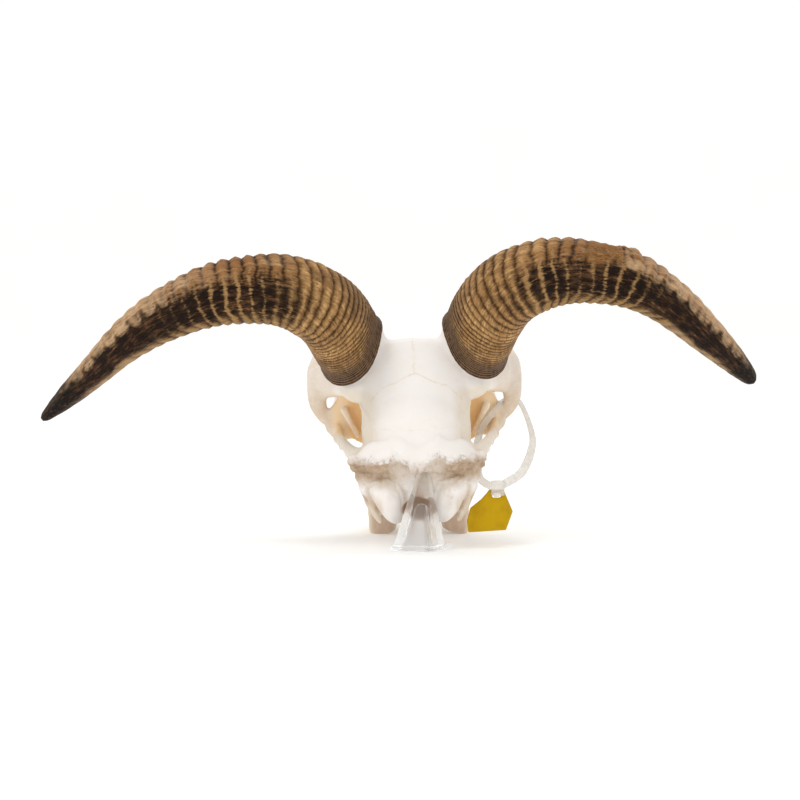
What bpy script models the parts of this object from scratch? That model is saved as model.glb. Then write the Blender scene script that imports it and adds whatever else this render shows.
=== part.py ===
"""Life-size bighorn ram skull resting on a stand post, with a strap and a tag.

The skull is modelled in its own frame: x to the animal's right, y towards the nose
from the back of the condyles, z up from the chewing plane. It is parted into bones
along its sutures, then tipped and set down on the post. Horns and strap follow the
skull frame too. Post, lock block and tag stand in the world frame, whose floor is z 0.
Sizes are written in millimetres and turned to metres by MM.
"""
from math import cos, pi, radians, sin

import bmesh
import bpy
from mathutils import Matrix, Vector

MM = 0.001

# --- driving sizes ---------------------------------------------------------------------

PITCH = radians(13.3)  # nose-up tilt of the skull on its post
ROLL = radians(2.0)  # left side lower than the right
SKULL_OFFSET = (-0.1, 2.0, -16.9)  # skull frame to world
SKULL_LENGTH = 240.0
GAP = 0.35  # clearance between neighbouring parts
VOXEL = 1.5  # grain of the merged skull surface
SKULL_TRIANGLES = 4300

ORBIT_HALF_SPREAD = 58.2
ORBIT_BORE = 18.5
BRAINCASE_HALF_WIDTH = 31.5
CHEEK_TEETH_START = 88.0

FRONTAL_SUTURE = 121.0  # y where the frontals meet the nasals
NASAL_HALF_WIDTH = 12.0
NASAL_HEIGHT = 89.0  # underside of the nasals at the frontal suture
NASAL_SLOPE = -0.348
CHEEK_SUTURE = [(79, -9), (79, 36), (97, 47), (118, 60), (FRONTAL_SUTURE, 80), (FRONTAL_SUTURE, 126)]
MUZZLE_SUTURE = [(184, -9), (190, 64), (196, 126)]
SKULL_LOW = -9.0  # limits of the whole skull, for the blocks that part it
SKULL_HIGH = 150.0
SKULL_BACK = -30.0
SKULL_FRONT = 252.0
SKULL_HALF_WIDTH = 90.0

HORN_GROOVE = 0.045  # depth of a growth groove, as a share of the radius
HORN_KEEL = 0.04  # how far the section leans to a rounded triangle
HORN_TWIST = radians(-28.0)  # turn of the section at the base, fading outwards
HORN_CORE_ROWS = 12  # rings of the horn that the skull makes room for

POST_TURN = radians(-20.0)
POST_BASE = 22.5
POST_TOP = 6.0
POST_HEIGHT = 41.0
POST_SHIFT = -1.6  # post centre beside the flange centre
POST_LEAN = 2.5
FLANGE_WIDTH = 27.0
FLANGE_DEPTH = 33.0
FLANGE_THICK = 2.8
FLANGE_CORNER = 4.0

STRAP_WIDTH = 4.4
STRAP_THICK = 1.7
LOCK_SPOT = (43.2, 16.2, 33.4)
LOCK_LOW = (-3.8, -1.9, -4.6)
LOCK_HIGH = (3.8, 1.9, 3.9)
TAG_PLANE = 19.2
TAG_THICK = 1.8
TAG_EDGE = 0.4
TAG_SLOT = (42.6, 28.6)
TAG_SLOT_HALF = (2.4, 1.2)
TAG_TONGUE_HALF = (1.6, 0.6)

# --- station tables --------------------------------------------------------------------

# Across y: y, lowest z, highest z, half width low, half width high, squareness.
FACE = [
    (54, 62, 115, 12, 20, 2.6), (74, 56, 118.5, 12, 24, 2.6), (88, 46, 115, 15, 30, 2.6),
    (100, 26, 111.5, 24, 33, 2.7), (112, 20, 106, 30, 29, 2.8), (126, 18.5, 99, 33, 23, 2.8),
    (142, 18, 91.5, 30, 18.5, 2.7), (158, 18, 84, 24, 16, 2.6), (172, 18.5, 76, 19.5, 14, 2.6),
    (186, 19, 66, 17.5, 13, 2.6), (198, 19, 51, 16.5, 14, 2.5), (212, 19, 39, 15, 14, 2.4),
    (226, 18.6, 30, 14, 13, 2.3), (237, 18.4, 24, 10.5, 10, 2.2),
]
CHEEK = [
    (84, 62, 96, 34, 44, 2.2), (94, 48, 99, 33, 46, 2.3), (104, 38, 97, 32, 43, 2.4),
    (116, 29, 91, 32, 37, 2.5), (128, 24, 83, 31, 28, 2.5), (140, 24, 72, 26, 19, 2.4),
]
ROOF = [
    (50, 104, 125, 34, 26, 2.3), (60, 96, 124.4, 48, 36, 2.2), (70, 92, 121.8, 60, 42, 2.1),
    (81, 92, 118.6, 66, 44, 2.1), (92, 90, 115, 62, 42, 2.1), (103, 86, 110.6, 50, 36, 2.2),
    (114, 80, 105, 39, 28, 2.3),
]
VAULT = [
    (4, 61, 72, 31, 27, 2.4), (8, 58, 77.5, 35, 22, 2.5), (14, 55, 84, 35, 22, 2.6),
    (20, 42, 90.5, 35, 23, 2.6), (27, 38, 98.5, 33.5, 26, 2.6), (36, 45, 109, 31, 31, 2.5),
    (45, 54, 119.6, 27, 34, 2.4), (53, 60, 125, 22, 33, 2.4), (61, 66, 123.2, 18, 30, 2.4),
]

# Bars: x, y, z, half width, half height.
SKULL_BASE = [(0, 19, 32, 9, 5), (0, 34, 37, 11, 7), (0, 52, 45, 9, 8), (0, 70, 54, 9, 10),
              (0, 86, 62, 10, 12)]
HORN_CORE = [(25, 69, 102, 19, 19), (29, 62, 110, 19, 20.5), (33, 54, 120.5, 18.8, 21)]
MASTOID = [(27, 21, 65, 8, 8), (27, 22, 54, 7, 6.5), (25, 24, 43, 5, 5)]
HORN_FLANK = [(25, 46, 103, 4, 4), (23, 55, 117.5, 9.5, 8), (23.5, 68, 116, 9.5, 8), (24, 80, 108, 8, 8)]
POSTORBITAL_BAR = [(24, 67, 100, 7, 13), (40, 70, 98, 5, 12), (52, 75, 96, 4.2, 11), (57.5, 77, 92, 3.8, 11)]
FACIAL_RIDGE = [(48, 92, 65, 5.5, 6.5), (42, 106, 61, 5.5, 6.5), (34, 120, 54, 5, 7), (25, 136, 44, 4, 7)]
TOOTH_BLOCK = [
    (21.5, 85, 29, 9.5, 17), (21.5, 90, 28, 11.5, 20), (22, 100, 27, 12, 19), (22.4, 112, 24, 11.5, 14),
    (23, 126, 21.5, 10.8, 9), (21, 148, 21, 8.5, 7), (17, 168, 22, 6, 4.5), (13, 180, 23, 3, 2.5),
]
ORBIT_RIM = [
    (ORBIT_HALF_SPREAD - 6, 91, 107, 3.4, 6.0), (ORBIT_HALF_SPREAD - 1, 81, 102, 3.6, 6.4),
    (ORBIT_HALF_SPREAD + 0.2, 76, 90, 3.4, 6.2), (ORBIT_HALF_SPREAD - 2.2, 78, 79, 3.0, 5.4),
    (ORBIT_HALF_SPREAD - 8.5, 87, 68.5, 3.2, 5.4), (ORBIT_HALF_SPREAD - 13, 102, 69, 3.6, 6.0),
    (ORBIT_HALF_SPREAD - 16, 111, 84, 3.4, 5.0), (ORBIT_HALF_SPREAD - 13, 104, 101, 3.6, 5.5),
]
CHEEK_ARCH = [(49.5, 87, 67, 4.2, 6), (46, 72, 66.6, 3.0, 5.4), (44.2, 57, 66.6, 2.7, 4.4),
              (41, 44, 66.6, 2.7, 3.7), (37.5, 31, 66.5, 3.4, 4.2), (32, 21, 65, 5, 6)]
PARACONDYLAR = [(29, 13, 62, 7, 7), (29.5, 15, 51, 5, 6), (27, 17.5, 40, 3.4, 5.6),
                (24, 20.5, 32, 2.8, 4.6), (21.5, 23, 25.5, 2.0, 2.8)]
PREMAXILLA_PRONG = [(13, 176, 22, 6, 4), (12.5, 194, 21, 5, 3), (11.5, 212, 20.5, 4.8, 2.6),
                    (10, 228, 19.8, 5.4, 2.4), (7.5, SKULL_LENGTH - 2, 19.2, 5.5, 2.2)]
NASAL = [(8.5, 132, 92, 8, 3), (8.5, 150, 85, 8.4, 3.2), (8.2, 170, 77.4, 8.2, 3),
         (7.2, 188, 69.6, 7, 2.6), (5.8, 201, 63.4, 5, 2.2), (4.2, 210, 59.6, 2.6, 1.6)]
OCCIPITAL_PLATE = [
    (0, 15, 71, 30, 10), (0, 15.5, 65, 31, 10), (0, 17, 58, 31, 10), (0, 18.6, 51, 30, 9.6),
    (0, 21, 44, 28.5, 9.2), (0, 24, 37, 25, 8.6), (0, 27, 31, 19, 7.5),
]
CONDYLE = [
    (19.4, 13.5, 54.6, 3.2, 3.6), (19.4, 11.6, 50.6, 6.4, 7.4), (17.6, 10.4, 44.2, 7.2, 8.4),
    (15.9, 11.6, 38.4, 6.2, 7.8), (14.2, 13.6, 34, 4.4, 6.4), (11.8, 16.5, 30.6, 2.2, 4),
]

# Overhanging crest at the back of the roof: the points of its edge, and its section in y and z.
CREST_EDGE = [
    (-36.6, 9, 66.5), (-33, 5, 66.8), (-28.5, 1.4, 68.4), (-24.5, -1.2, 69.6), (-20.3, -3.4, 69.6),
    (-16, -3, 70.6), (-12.5, -0.8, 71.8), (-8.7, -3.8, 70.8), (-4.1, -6.4, 68.2), (0.1, -7.6, 66.2),
    (4.4, -6.6, 68.4), (9, -3.8, 71), (12.5, -2.4, 72), (16.5, -4.8, 69.4), (20.5, -4.4, 68.6),
    (24.5, -1.2, 69.6), (29, 1.8, 68), (33, 5, 66), (36.6, 9, 65),
]
CREST_SECTION = [(0.2, -1.0), (-0.8, 0.0), (-0.4, 1.4), (2.4, 3.6), (6.5, 6.4), (12, 9.6), (16, 7),
                 (16, -1), (7, -1.8), (2.6, -1.6)]
CREST_FADE = (24, 37)  # the section shrinks between these distances from the middle
CREST_END_SIZE = 0.38

# Thin wall behind the eye: its outline in x and z, and where it stands.
BACK_WALL = [
    (26, 92), (43, 91), (45.2, 86.4), (47.8, 82.2), (51.4, 78), (54.5, 75), (50.5, 67), (44, 62.8),
    (40.6, 61.6), (37.2, 63), (34.2, 61.2), (26, 58),
]
BACK_WALL_START = 66.0  # y at BACK_WALL_MIDDLE
BACK_WALL_MIDDLE = 30.0
BACK_WALL_SLANT = 0.42
BACK_WALL_THICK = 3.0

# Cheek teeth from the back: length, half width, x, foot of the crown.
CHEEK_TEETH = [
    (21, 8.2, 21.6, -5.6), (16, 7.4, 22.6, -5.0), (13, 6.6, 22.4, -3.6),
    (9, 5.8, 21.4, -2.4), (9, 5.2, 20.0, -1.2), (7, 4.4, 18.8, 0),
]
MOLAR_LENGTH = 12.0  # a tooth longer than this has two lobes

# Hollows: x, y, z, half width, half height.
ORBIT_HOLLOW = [
    (79, 107, 89, ORBIT_BORE + 5, ORBIT_BORE + 4), (60, 98, 88.5, ORBIT_BORE, ORBIT_BORE),
    (50, 93, 88, ORBIT_BORE - 1.5, ORBIT_BORE - 1), (36, 87, 87, ORBIT_BORE - 4, ORBIT_BORE - 4),
    (22, 80, 86, ORBIT_BORE - 9, ORBIT_BORE - 9),
]
TEMPORAL_HOLLOW = [(44, 24, 76, 9, 8), (45, 40, 77, 12, 12.5), (46, 56, 77, 14, 13),
                   (46, 72, 77, 13, 11), (42, 86, 78, 10, 9)]
TEMPLE_GAP = [(37.0, 52, 66.2, 3.8, 3.4), (37.2, 78, 58.4, 4.2, 3.8), (37.4, 100, 52, 5, 4.6),
              (38, 125, 44.5, 7, 6), (39, 150, 37, 8, 7)]
FORAMEN_MAGNUM = [(0, -10, 33, 9.6, 8.4), (0, 20, 37, 9.4, 8.2), (0, 40, 48, 8, 8)]
CHOANAE = [(0, 60, 38, 8, 6), (0, 84, 38, 8.5, 7.5), (0, 104, 33, 7, 6)]
NASAL_HOLLOW = [(0, 262, 37, 10, 15), (0, 226, 38, 9.5, 15), (0, 206, 44, 11.5, 19),
                (0, 188, 49, 11.5, 18), (0, 160, 54, 7, 10)]
INCISIVE_SLOT = [(0, 250, 18, 2.6, 14), (0, 205, 18, 3.6, 14), (0, 188, 18, 2.8, 14)]

# Horns: x, y, z, half width, half depth in front and behind.
HORN_LEFT = [
    (-34.9, 58, 126.1, 19.8, 17.5, 28.5), (-45.1, 38, 145.9, 20.4, 18.5, 26),
    (-57, 25, 157.7, 20.2, 19, 24), (-71.9, 17.5, 164.5, 19.4, 19, 22),
    (-90.1, 14, 166.1, 18, 18.5, 20.5), (-109.1, 13, 163.9, 16.6, 17.5, 18.8),
    (-127.5, 14.5, 157.2, 14.8, 16.2, 17), (-145.4, 18, 147.8, 13, 14.4, 14.8),
    (-162.2, 23, 135.1, 10.8, 12, 12.2), (-178.1, 30, 119.9, 8.8, 9.8, 9.8),
    (-194.7, 38.5, 104.3, 6.6, 7.3, 7.3), (-209.3, 47, 90.7, 3.4, 3.7, 3.7),
    (-213, 49, 87.3, 1.6, 1.7, 1.7),
]
HORN_RIGHT = [
    (34.8, 58, 127.2, 19.8, 17.5, 28.5), (43.6, 38, 146.2, 20.4, 18.5, 26),
    (53.3, 25, 158.9, 20.2, 19, 24), (66.3, 17.5, 166.6, 19.4, 19, 22),
    (82.5, 14, 170.3, 18, 18.5, 20.5), (100.1, 13, 169.5, 16.7, 17.5, 18.8),
    (117.7, 14.5, 164.9, 15.4, 16.6, 17.2), (134, 18, 155.4, 13.4, 14.8, 15.2),
    (149, 23, 142.8, 12, 13.2, 13.4), (163.3, 30, 128.1, 10.2, 11.2, 11.2),
    (177.8, 38.5, 112.5, 7.8, 8.5, 8.5), (189.8, 47, 98.8, 4.8, 5.2, 5.2),
    (193.2, 49.2, 95.2, 2.2, 2.4, 2.4),
]
HORN_RINGS = (0.04, 0.08, 0.12, 0.16, 0.205, 0.25, 0.30, 0.355, 0.41, 0.465, 0.525, 0.59, 0.66)
HORN_RING_HALF = 0.016

# The strap's middle line in the skull frame, and the tag's outline (x, z) in the world.
STRAP_PATH = [
    (60.9, 84, 78), (63.9, 80, 73), (66.3, 74, 66.7), (67.7, 67, 60.2), (66.7, 60, 56.2),
    (63.8, 52, 50.9), (58.9, 42, 46.6), (51.1, 31.5, 45.2), (44.5, 25.5, 44.3), (38.6, 25.5, 46.4),
    (35.2, 30.5, 48.4), (34.6, 38, 51.5), (34.2, 46, 57), (33.9, 53, 63), (35.4, 58.5, 68.8),
    (40, 63, 74.8), (45.6, 68.4, 80.2), (50.8, 75.4, 83.2), (56.3, 82.8, 82.2),
]
TAG_OUTLINE = [
    (38.4, 32), (46.7, 32), (47.3, 30.4), (51.9, 19.5), (48.0, 8.9), (26.5, 7.5), (25.8, 14),
    (27.6, 21.5), (33.7, 26.4), (36.6, 29.6),
]


# --- helpers ---------------------------------------------------------------------------

def clear_file():
    """Remove every object the file starts with."""
    for obj in list(bpy.data.objects):
        bpy.data.objects.remove(obj, do_unlink=True)


def collection(name):
    """Return a new collection linked to the scene."""
    made = bpy.data.collections.new(name)
    bpy.context.scene.collection.children.link(made)
    return made


def material(name, colour, roughness, transmission=0.0):
    """Return a Principled material."""
    made = bpy.data.materials.new(name)
    made.use_nodes = True
    shader = made.node_tree.nodes["Principled BSDF"]
    shader.inputs["Base Color"].default_value = (*colour, 1.0)
    shader.inputs["Roughness"].default_value = roughness
    shader.inputs["Transmission Weight"].default_value = transmission
    return made


def dress(obj, finish):
    """Give an object its one material."""
    obj.data.materials.clear()
    obj.data.materials.append(finish)
    return obj


def add_object(name, bm, group=None):
    """Turn a bmesh into an object, faces outwards."""
    bmesh.ops.recalc_face_normals(bm, faces=bm.faces)
    mesh = bpy.data.meshes.new(name)
    bm.to_mesh(mesh)
    bm.free()
    obj = bpy.data.objects.new(name, mesh)
    (group or bpy.context.scene.collection).objects.link(obj)
    return obj


def apply_modifiers(obj):
    """Replace an object's mesh by its evaluated mesh and drop the modifiers."""
    graph = bpy.context.evaluated_depsgraph_get()
    graph.update()
    baked = bpy.data.meshes.new_from_object(obj.evaluated_get(graph))
    obj.modifiers.clear()
    old = obj.data
    obj.data = baked
    bpy.data.meshes.remove(old)
    return obj


def boolean(obj, cutter, operation):
    """Apply an exact Boolean and remove the second shape."""
    modifier = obj.modifiers.new("cut", "BOOLEAN")
    modifier.operation = operation
    modifier.solver = "EXACT"
    modifier.object = cutter
    apply_modifiers(obj)
    bpy.data.objects.remove(cutter, do_unlink=True)
    return obj


def remesh(obj, voxel):
    """Merge overlapping closed shapes into one skin."""
    modifier = obj.modifiers.new("merge", "REMESH")
    modifier.mode = "VOXEL"
    modifier.voxel_size = voxel * MM
    return apply_modifiers(obj)


def smooth(obj, factor, repeats):
    """Relax a mesh."""
    modifier = obj.modifiers.new("relax", "SMOOTH")
    modifier.factor = factor
    modifier.iterations = repeats
    return apply_modifiers(obj)


def decimate(obj, triangles):
    """Reduce a mesh to about a number of triangles."""
    bm = bmesh.new()
    bm.from_mesh(obj.data)
    bmesh.ops.triangulate(bm, faces=bm.faces)
    bm.to_mesh(obj.data)
    bm.free()
    modifier = obj.modifiers.new("reduce", "DECIMATE")
    modifier.ratio = triangles / len(obj.data.polygons)
    return apply_modifiers(obj)


def bodies_of(bm):
    """Return the sets of connected vertices of a bmesh, smallest first."""
    todo = set(bm.verts)
    bodies = []
    while todo:
        stack = [todo.pop()]
        body = set(stack)
        while stack:
            for edge in stack.pop().link_edges:
                fresh = set(edge.verts) - body
                body |= fresh
                stack += fresh
        todo -= body
        bodies.append(body)
    return sorted(bodies, key=len)


def keep_largest(obj):
    """Drop the loose slivers a cut leaves beside the main body."""
    bm = bmesh.new()
    bm.from_mesh(obj.data)
    for body in bodies_of(bm)[:-1]:
        bmesh.ops.delete(bm, geom=list(body), context="VERTS")
    bm.to_mesh(obj.data)
    bm.free()
    return obj


def join(name, objects):
    """Join loose shapes into one object."""
    bm = bmesh.new()
    for obj in objects:
        bm.from_mesh(obj.data)
        bpy.data.objects.remove(obj, do_unlink=True)
    return add_object(name, bm)


def ellipsoid(centre, radii, turn=(0, 0, 0), segments=24):
    """Return an ellipsoid; turn is in degrees about x, y, z."""
    bm = bmesh.new()
    bmesh.ops.create_uvsphere(bm, u_segments=segments, v_segments=segments // 2, radius=1.0)
    spin = Matrix.Identity(4)
    for axis, angle in zip("XYZ", turn):
        spin = Matrix.Rotation(radians(angle), 4, axis) @ spin
    size = Matrix.Diagonal((*(Vector(radii) * MM), 1.0))
    bmesh.ops.transform(bm, matrix=Matrix.Translation(Vector(centre) * MM) @ spin @ size, verts=bm.verts)
    return add_object("ellipsoid", bm)


def slab(low, high):
    """Return a box between two corners."""
    low = Vector(low) * MM
    high = Vector(high) * MM
    bm = bmesh.new()
    bmesh.ops.create_cube(bm, size=1.0)
    place = Matrix.Translation((low + high) / 2) @ Matrix.Diagonal((*(high - low), 1.0))
    bmesh.ops.transform(bm, matrix=place, verts=bm.verts)
    return add_object("slab", bm)


def loft(name, rings, group=None, closed=False):
    """Skin rings of equal count into one body, capped at both ends or closed on itself."""
    bm = bmesh.new()
    row = bmesh.ops.create_circle(bm, segments=len(rings[0]), radius=1.0)["verts"]
    for vert, spot in zip(row, rings[0]):
        vert.co = Vector(spot) * MM
    first = list(bm.edges)
    edges = first
    for ring in rings[1:]:
        made = bmesh.ops.extrude_edge_only(bm, edges=edges)["geom"]
        fresh = {item for item in made if isinstance(item, bmesh.types.BMVert)}
        edges = [item for item in made if isinstance(item, bmesh.types.BMEdge) and set(item.verts) <= fresh]
        above = {edge.other_vert(vert): vert for vert in fresh for edge in vert.link_edges}
        row = [above[vert] for vert in row]
        for vert, spot in zip(row, ring):
            vert.co = Vector(spot) * MM
    if closed:
        bmesh.ops.bridge_loops(bm, edges=first + edges)
    else:
        bmesh.ops.contextual_create(bm, geom=first)
        bmesh.ops.contextual_create(bm, geom=edges)
    return add_object(name, bm, group)


def spline(values, steps, closed=False):
    """Catmull-Rom interpolation through rows of numbers."""
    rows = [Vector(row) for row in values]
    if closed:
        padded = [rows[-1], *rows, rows[0], rows[1]]
    else:
        padded = [rows[0] * 2 - rows[1], *rows, rows[-1] * 2 - rows[-2]]
    out = []
    for index in range(1, len(padded) - 2):
        p0, p1, p2, p3 = padded[index - 1:index + 3]
        for step in range(steps):
            t = step / steps
            out.append(0.5 * (2 * p1 + (p2 - p0) * t + (2 * p0 - 5 * p1 + 4 * p2 - p3) * t ** 2
                              + (3 * p1 - p0 - 3 * p2 + p3) * t ** 3))
    return out if closed else [*out, rows[-1]]


def superellipse(half_width, half_height, angle, power):
    """Return the x and y of a point on a superellipse."""
    c = cos(angle)
    s = sin(angle)
    x = half_width * abs(c) ** (2 / power) * (1 if c >= 0 else -1)
    y = half_height * abs(s) ** (2 / power) * (1 if s >= 0 else -1)
    return x, y


def ring_points(centre, side, up, half_width, half_height, count, power=2.0):
    """Return one superellipse ring in the plane of side and up."""
    points = []
    for index in range(count):
        x, y = superellipse(half_width, half_height, 2 * pi * index / count, power)
        points.append(centre + side * x + up * y)
    return points


def sweep(stations, up=(0, 0, 1), steps=4, count=12, power=2.0):
    """Skin a bar of changing section along rows of (x, y, z, half width, half height)."""
    rows = spline(stations, steps)
    rings = []
    for index, row in enumerate(rows):
        ahead = rows[min(index + 1, len(rows) - 1)]
        back = rows[max(index - 1, 0)]
        along = (Vector(ahead[:3]) - Vector(back[:3])).normalized()
        side = along.cross(Vector(up)).normalized()
        rise = side.cross(along).normalized()
        rings.append(ring_points(Vector(row[:3]), side, rise, row[3], row[4], count, power))
    return loft("sweep", rings)


def trunk(table, count=28):
    """Skin a body across y from rows of (y, z low, z high, half width low and high, squareness)."""
    rings = []
    for y, low, high, half_low, half_high, power in spline(table, 3):
        middle = (low + high) / 2
        reach = (high - low) / 2
        ring = []
        for index in range(count):
            x, z = superellipse(1.0, reach, 2 * pi * index / count, power)
            share = (z + reach) / (2 * reach)
            ring.append(Vector((x * (half_low + (half_high - half_low) * share), y, middle + z)))
        rings.append(ring)
    return loft("trunk", rings)


def mirrored(obj):
    """Return the left-hand copy of a right-hand shape."""
    bm = bmesh.new()
    bm.from_mesh(obj.data)
    bmesh.ops.scale(bm, vec=(-1, 1, 1), verts=bm.verts)
    return add_object("mirrored", bm)


def both(*shapes):
    """Return right-hand shapes with their left-hand copies."""
    return [*shapes, *[mirrored(shape) for shape in shapes]]


# --- skull -----------------------------------------------------------------------------

def core_shapes():
    """Shapes that blend into the braincase, the frontals and the face."""
    shapes = [trunk(table) for table in (FACE, CHEEK, ROOF, VAULT)]
    shapes += [
        ellipsoid((0, 38, 77), (BRAINCASE_HALF_WIDTH, 30, 25), (32, 0, 0)),
        ellipsoid((0, 62, 76), (19, 26, 26)),
        sweep(SKULL_BASE),
    ]
    return shapes + both(
        sweep(HORN_CORE, up=(0, 1, 0), count=18),
        sweep(HORN_FLANK),
        ellipsoid((31, 50, 100), (12.5, 14, 9)),
        sweep(MASTOID, up=(0, 1, 0)),
        sweep(POSTORBITAL_BAR),
        ellipsoid((28, 22, 62), (8, 12, 11)),
        sweep(FACIAL_RIDGE),
        sweep(TOOTH_BLOCK, count=14, power=2.4),
    )


def fade(value, low, high):
    """Return 0 up to low, 1 from high, and a smooth step between them."""
    share = min(max((value - low) / (high - low), 0.0), 1.0)
    return share * share * (3 - 2 * share)


def crest_shelf():
    """Shelf that ends the roof of the skull in a wavy, overhanging edge."""
    rings = []
    for spot in spline(CREST_EDGE, 3):
        size = 1 - (1 - CREST_END_SIZE) * fade(abs(spot.x), *CREST_FADE)
        rings.append([spot + Vector((0, back, rise)) * size for back, rise in CREST_SECTION])
    return loft("crest", rings)


def back_wall():
    """Thin wall of bone behind the right eye, seen through the temple."""
    rings = []
    for depth in (0.0, BACK_WALL_THICK):
        rings.append([(x, BACK_WALL_START + BACK_WALL_SLANT * (x - BACK_WALL_MIDDLE) + depth, z)
                      for x, z in BACK_WALL])
    return loft("wall", rings)


def rim_shapes():
    """Orbit rims, cheek arches, condyles and the other sharp parts."""
    return [
        *both(
            sweep([*ORBIT_RIM, *ORBIT_RIM[:2]], up=(0.85, 0.35, 0.1), steps=5, count=10),
            sweep(CHEEK_ARCH),
            sweep(PARACONDYLAR, up=(0.3, 0.9, 0)),
            sweep(CONDYLE, up=(0, -1, 0)),
            back_wall(),
            ellipsoid((20, 35, 37), (7, 9.5, 9), (15, 0, 0)),
            sweep(PREMAXILLA_PRONG),
            sweep(NASAL),
        ),
        crest_shelf(),
        sweep(OCCIPITAL_PLATE, up=(0, 1, 0.4), count=20, power=3.4),
    ]


def tooth_shapes():
    """Cheek teeth, six a side, three two-lobed molars at the back."""
    shapes = []
    y = CHEEK_TEETH_START
    for length, half_width, x, foot in CHEEK_TEETH:
        lobes = 2 if length > MOLAR_LENGTH else 1
        step = length / lobes
        for lobe in range(lobes):
            middle = y + step * (lobe + 0.5)
            crown = [(x, middle, foot, step * 0.53, half_width * 0.92),
                     (x, middle, 11, step * 0.55, half_width),
                     (x - 0.6, middle, 26, step * 0.55, half_width * 1.05)]
            shapes.append(sweep(crown, up=(1, 0, 0), steps=2, power=2.8))
        y += length
    return both(*shapes)


def hollows():
    """Shapes taken out of the merged skull."""
    return [
        *both(sweep(ORBIT_HOLLOW, count=20), sweep(TEMPORAL_HOLLOW, count=18), sweep(TEMPLE_GAP)),
        sweep(FORAMEN_MAGNUM, count=16),
        sweep(CHOANAE),
        sweep(NASAL_HOLLOW, count=16),
        sweep(INCISIVE_SLOT, count=10),
    ]


def whole_skull():
    """Return the whole skull as one body in its own frame."""
    core = smooth(remesh(join("core", core_shapes()), VOXEL), 0.6, 12)
    for hollow in hollows():
        boolean(core, hollow, "DIFFERENCE")
    skull = smooth(remesh(join("skull", [core, *rim_shapes(), *tooth_shapes()]), VOXEL), 0.5, 3)
    boolean(skull, sweep(FORAMEN_MAGNUM, count=16), "DIFFERENCE")
    return decimate(skull, SKULL_TRIANGLES)


def outline_block(outline, low_x, high_x):
    """Extrude an outline of (y, z) points across x."""
    return loft("block", [[(x, y, z) for y, z in outline] for x in (low_x, high_x)])


def nasal_outline(lift):
    """Outline round the nasals, moved into them by half of the suture's gap."""
    ends = [FRONTAL_SUTURE + lift, SKULL_FRONT]
    under = [(y, NASAL_HEIGHT + NASAL_SLOPE * (y - FRONTAL_SUTURE) + lift) for y in ends]
    return [*under, (ends[1], SKULL_HIGH), (ends[0], SKULL_HIGH)]


def cut_bone(name, skull, outline, low_x, high_x, group):
    """Return the part of the skull inside an extruded outline."""
    bone = bpy.data.objects.new(name, skull.data.copy())
    group.objects.link(bone)
    return boolean(bone, outline_block(outline, low_x, high_x), "INTERSECT")


def side_span(side, reach):
    """Return the lowest and highest x of one half of the skull, clear of the middle suture."""
    return (-reach, -GAP / 2) if side == "left" else (GAP / 2, reach)


def part_skull(skull, group):
    """Part the whole skull into bones with a thin gap along the sutures."""
    half = GAP / 2
    cheek = [(y + half, z) for y, z in CHEEK_SUTURE]
    muzzle = [(y - half, z) for y, z in reversed(MUZZLE_SUTURE)]
    snout = [(y + half, z) for y, z in MUZZLE_SUTURE]
    snout += [(SKULL_FRONT, SKULL_HIGH), (SKULL_FRONT, SKULL_LOW)]
    back = [(SKULL_BACK, SKULL_LOW), *[(y - half, z) for y, z in CHEEK_SUTURE[:-1]]]
    back += [(FRONTAL_SUTURE - half, SKULL_HIGH), (SKULL_BACK, SKULL_HIGH)]
    bones = []
    for side in ("left", "right"):
        span = side_span(side, NASAL_HALF_WIDTH)
        bones.append(cut_bone(f"nasal_{side}", skull, nasal_outline(half), *span, group))
    reach = NASAL_HALF_WIDTH + GAP
    boolean(skull, outline_block(nasal_outline(-half), -reach, reach), "DIFFERENCE")
    for side in ("left", "right"):
        span = side_span(side, SKULL_HALF_WIDTH)
        bones.append(cut_bone(f"maxilla_{side}", skull, cheek + muzzle, *span, group))
        bones.append(cut_bone(f"premaxilla_{side}", skull, snout, *span, group))
    bones.append(cut_bone("cranium", skull, back, -SKULL_HALF_WIDTH, SKULL_HALF_WIDTH, group))
    bpy.data.objects.remove(skull, do_unlink=True)
    return {bone.name: bone for bone in bones}


def skull_to_world():
    """Return the matrix that tips the skull and sets it on the post."""
    tip = Matrix.Rotation(-ROLL, 4, "Y") @ Matrix.Rotation(PITCH, 4, "X")
    return Matrix.Translation(Vector(SKULL_OFFSET) * MM) @ tip


# --- horns -----------------------------------------------------------------------------

def groove_at(share):
    """Return the radius factor of the growth grooves at a share of the horn's length."""
    nearest = min(abs(share - place) for place in HORN_RINGS)
    return 1.0 - HORN_GROOVE * max(0.0, 1.0 - nearest / HORN_RING_HALF)


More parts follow.
